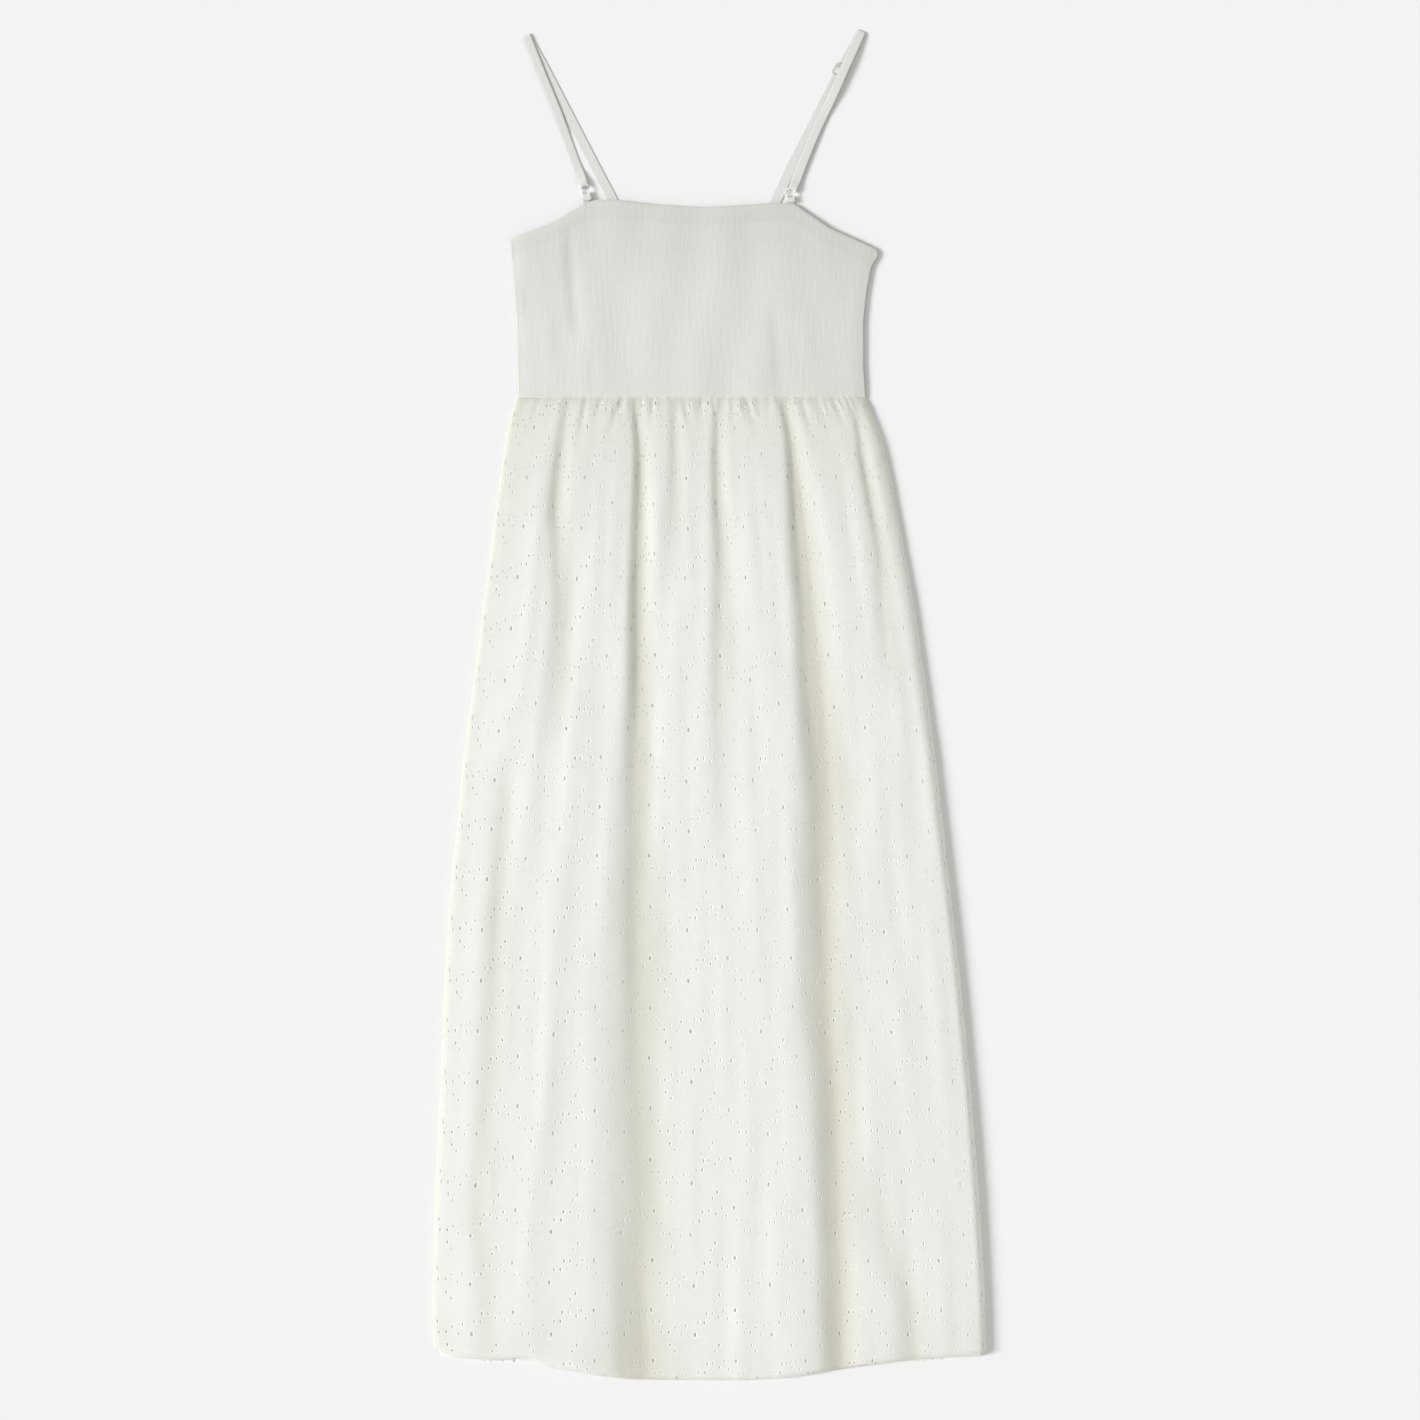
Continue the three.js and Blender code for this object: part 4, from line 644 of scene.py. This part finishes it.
def strip(name, stops, thick, material):
    """A flat strip with rounded edges along stops of place, plan direction, width and bend."""
    places = np.array([s[0] for s in stops], float)
    ups = np.array([s[1] for s in stops], float)
    widths = np.array([s[2] for s in stops], float)
    bends = np.array([s[3] for s in stops], float)
    keys = np.concatenate([[0], np.cumsum(np.linalg.norm(np.diff(places, axis=0), axis=1))])
    fine = np.unique(np.concatenate([keys, np.arange(0, keys[-1], 2.0)]))
    many = [np.interp(fine, keys, places[:, k]) for k in range(3)]
    places = np.stack(many, axis=1)
    ups = np.stack([np.interp(fine, keys, ups[:, k]) for k in range(2)], axis=1)
    widths, bends = np.interp(fine, keys, widths), np.interp(fine, keys, bends)
    for _ in range(2):
        inner = places[1:-1] * 0.5 + (places[:-2] + places[2:]) * 0.25
        near = np.linalg.norm(places[2:] - places[:-2], axis=1) > 1.2
        places[1:-1] = np.where(near[:, None], inner, places[1:-1])
    tangent = np.gradient(places, axis=0)
    tangent /= np.linalg.norm(tangent, axis=1, keepdims=True)
    side = np.stack([-ups[:, 1], ups[:, 0], np.zeros(len(ups))], axis=1)
    side /= np.linalg.norm(side, axis=1, keepdims=True)
    out = np.cross(tangent, side)
    out /= np.linalg.norm(out, axis=1, keepdims=True)
    section = [(1, -0.6, -1.0), (1, 0.6, -0.7), (1, 1.0, 0.1), (1, 0.95, 0.72), (1, 0.7, 0.96), (1, 0.4, 1.0),
               (1, -0.2, 1.0), (0.5, 0, 0.98), (0, 0, 1.0), (-0.5, 0, 0.98), (-1, 0.2, 1.0),
               (-1, -0.4, 1.0), (-1, -0.7, 0.96), (-1, -0.95, 0.72), (-1, -1.0, 0.1), (-1, -0.6, -0.7),
               (-1, 0.6, -1.0), (-0.5, 0, -1.0), (0, 0, -1.0), (0.5, 0, -1.0)]
    half_thick = thick / 2 * 0.98
    points, faces, painted_shade = [], [], []
    for k in range(len(places)):
        half = widths[k] / 2 - half_thick
        for part, round_out, level in section:
            w = part * half + round_out * half_thick
            drop = bends[k] * (RING_MID - math.sqrt(max(0.0, RING_MID ** 2 - min(abs(w), 4.0) ** 2)))
            p = places[k] + side[k] * w + out[k] * level * half_thick
            p[:2] += ups[k] * drop
            points.append(p)
            # Painted shade on the strip's side walls, so that the wall facing the light doesn't read bright;
            # less where the strip bends round a ring.
            edge_shade = min(1.0, max(0.0, (0.97 - abs(level)) * 3.0))
            painted_shade.append(edge_shade * (1 - 0.9 * min(1.0, abs(bends[k]))))
    n = len(section)
    for k in range(len(places) - 1):
        for s in range(n):
            a, b = k * n + s, k * n + (s + 1) % n
            faces.append((a, b, b + n, a + n))
    faces.append(tuple(range(n))[::-1])
    faces.append(tuple(range((len(places) - 1) * n, len(places) * n)))
    made = mesh_object(name, points, faces, material)
    write_painted_shade(made, painted_shade)
    return made, fine[-1]


for name, strap in strap_routes.items():
    back_s, back_at = route(strap["back"])
    front_s, front_at = route(strap["front"])
    slider = back_s[-1] * strap["slider"] if strap["slider"] else None
    stops = []

    def lay(p, z, up, wide=STRAP_WIDE, bend=0.0):
        stops.append(((p[0], p[1], z), tuple(unit(up)), wide, bend))

    stations = list(np.linspace(3.0, back_s[-1] - 0.3, 13))
    weave = {}
    if slider:
        weave = {-14.0: LOW_Z, -4.3: LOW_Z, -1.7: OVER_BAR, 1.7: OVER_BAR, 4.3: LOW_Z, 14.0: LOW_Z}
        stations = [s for s in stations if abs(s - slider) > 14] + [slider + w for w in weave]
    for s in sorted(stations, reverse=True):
        z = weave.get(round(s - slider, 6), LOW_Z) if slider else LOW_Z
        lay(back_at(s), z, back_at(max(0, s - 4)) - back_at(s + 4),
            9.4 if name == "right" and s > 130 else STRAP_WIDE)
    top_up = unit(front_at(0) - front_at(20))
    crest = front_at(3.0)
    for t in (0.15, 0.5, 0.85):
        a = math.pi * (t - 0.5)
        turn = (HIGH_Z - LOW_Z) / 2
        lay(crest + top_up * (turn * math.cos(a) + 1.5), LOW_Z + turn + turn * math.sin(a), top_up,
            8.2 if name == "left" else 7.2)
    ring = np.array(strap["ring"])
    ring_up = unit(np.array(strap["front"][-2]) - ring)
    settle_from, settle_run, settled = strap["settle"]
    wire_top = ring + ring_up * RING_MID
    for s in np.linspace(3.0, front_s[-1], 14):
        p = front_at(s)
        if np.linalg.norm(p - wire_top) < 16:
            continue
        z = HIGH_Z
        if slider:
            near = np.linalg.norm(p - back_at(slider))
            t = min(1.0, max(0.0, (46 - near) / 34))
            z += t * t * (3 - 2 * t) * (OVER_BAR + STRAP_THICK + 0.3 - HIGH_Z)
        t = min(1.0, max(0.0, (settle_from - p[1]) / settle_run))
        z += t * t * (3 - 2 * t) * (settled - HIGH_Z)
        lay(p, z, front_at(s) - front_at(min(front_s[-1], s + 8) + 0.001))
    lay(wire_top + ring_up * 13.5, max(LOW_Z + 0.35, settled), ring_up, 8.8)
    lay(wire_top + ring_up * 10.6, max(HIGH_Z, settled), ring_up, 9.0)
    lay(wire_top + ring_up * 7, max(HIGH_Z + 0.35, settled), ring_up, 9.0)
    lay(wire_top + ring_up * 4, RING_Z + LOOP * 0.75, ring_up, 8.4, -0.4)
    for degrees in (90, 60, 30, 0, -30, -60, -90):
        a = math.radians(degrees)
        lay(wire_top - ring_up * LOOP_NOSE * math.cos(a), RING_Z + LOOP * math.sin(a), ring_up, 7.6, -1.0)
    lay(wire_top + ring_up * 4, UNDER_Z, ring_up, 7.0, -0.5)
    lay(wire_top + ring_up * 7, LOW_Z + 0.1, ring_up, 7.0)
    lay(wire_top + ring_up * 9.6, LOW_Z, ring_up, 7.0)
    made, long = strip(f"strap_{name}_strip", stops, STRAP_THICK, strap_cotton)
    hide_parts(f"strap_{name}")
    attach(made, "root")

    stops.clear()
    foot_up = unit(ring - np.array(strap["foot"]))
    wire_low = ring - foot_up * RING_MID
    lay(wire_low - foot_up * 16, UNDER_Z, foot_up, 9.0)
    lay(wire_low - foot_up * 9, UNDER_Z, foot_up, 9.0)
    lay(wire_low - foot_up * 4, UNDER_Z, foot_up, 8.0, 0.5)
    for degrees in (-90, -60, -30, 0, 30, 60, 90):
        a = math.radians(degrees)
        lay(wire_low + foot_up * LOOP_NOSE * math.cos(a), RING_Z + LOOP * math.sin(a), foot_up, 7.6, 1.0)
    lay(wire_low - foot_up * strap["reach"], RING_Z + LOOP * 0.85, foot_up, 9.4, 0.6)
    made, long = strip(f"strap_tab_{name}_strip", stops, STRAP_THICK, strap_cotton)
    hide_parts(f"strap_tab_{name}")
    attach(made, "root")

# Rings and slider. Small white moulded fittings: a 12 mm ring at each front strap end and
# the slider that shows beside the right strap.
moulded, tree = new_material("milky clear moulded plastic")
place = add(tree, "ShaderNodeTexCoord")
grain = add(tree, "ShaderNodeTexNoise", {"Scale": 900.0, "Detail": 2.0}, Vector=place.outputs["Object"])
skin = add(tree, "ShaderNodeBump", {"Strength": 0.15, "Distance": 0.0001}, Height=grain.outputs["Fac"])
body = add(tree, "ShaderNodeBsdfPrincipled",
           {"Base Color": linear("#FBFBF9"), "Roughness": 0.55, "IOR": 1.49, "Specular IOR Level": 0.2},
           Normal=skin.outputs[0])
clear = add(tree, "ShaderNodeBsdfTransparent", {"Color": linear("#FAFAF8")})
milky = add(tree, "ShaderNodeMixShader", {"Fac": 0.6}, _1=body.outputs[0], _2=clear.outputs[0])
add(tree, "ShaderNodeOutputMaterial", None, Surface=milky.outputs[0])
for name, strap in strap_routes.items():
    turns, sides = 56, 14
    a, b = np.meshgrid(2 * math.pi * np.arange(turns) / turns, 2 * math.pi * np.arange(sides) / sides,
                       indexing="ij")
    r = RING_MID + RING_WIRE * np.cos(b)
    points = np.stack([strap["ring"][0] + r * np.cos(a), strap["ring"][1] + r * np.sin(a),
                       RING_Z + RING_WIRE * np.sin(b)], axis=-1).reshape(-1, 3)
    faces = [(k * sides + s, ((k + 1) % turns) * sides + s, ((k + 1) % turns) * sides + (s + 1) % sides,
              k * sides + (s + 1) % sides) for k in range(turns) for s in range(sides)]
    made = mesh_object(f"ring_{name}_wire", points, faces, moulded)
    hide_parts(f"ring_{name}")
    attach(made, "root")
opaque, tree = new_material("white moulded plastic")
body = add(tree, "ShaderNodeBsdfPrincipled",
           {"Base Color": linear("#BDBFBA"), "Roughness": 0.8, "IOR": 1.49, "Specular IOR Level": 0.15})
add(tree, "ShaderNodeOutputMaterial", None, Surface=body.outputs[0])
slider_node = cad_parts["slider_right"]
slider_node.data.materials.clear()
slider_node.data.materials.append(opaque)
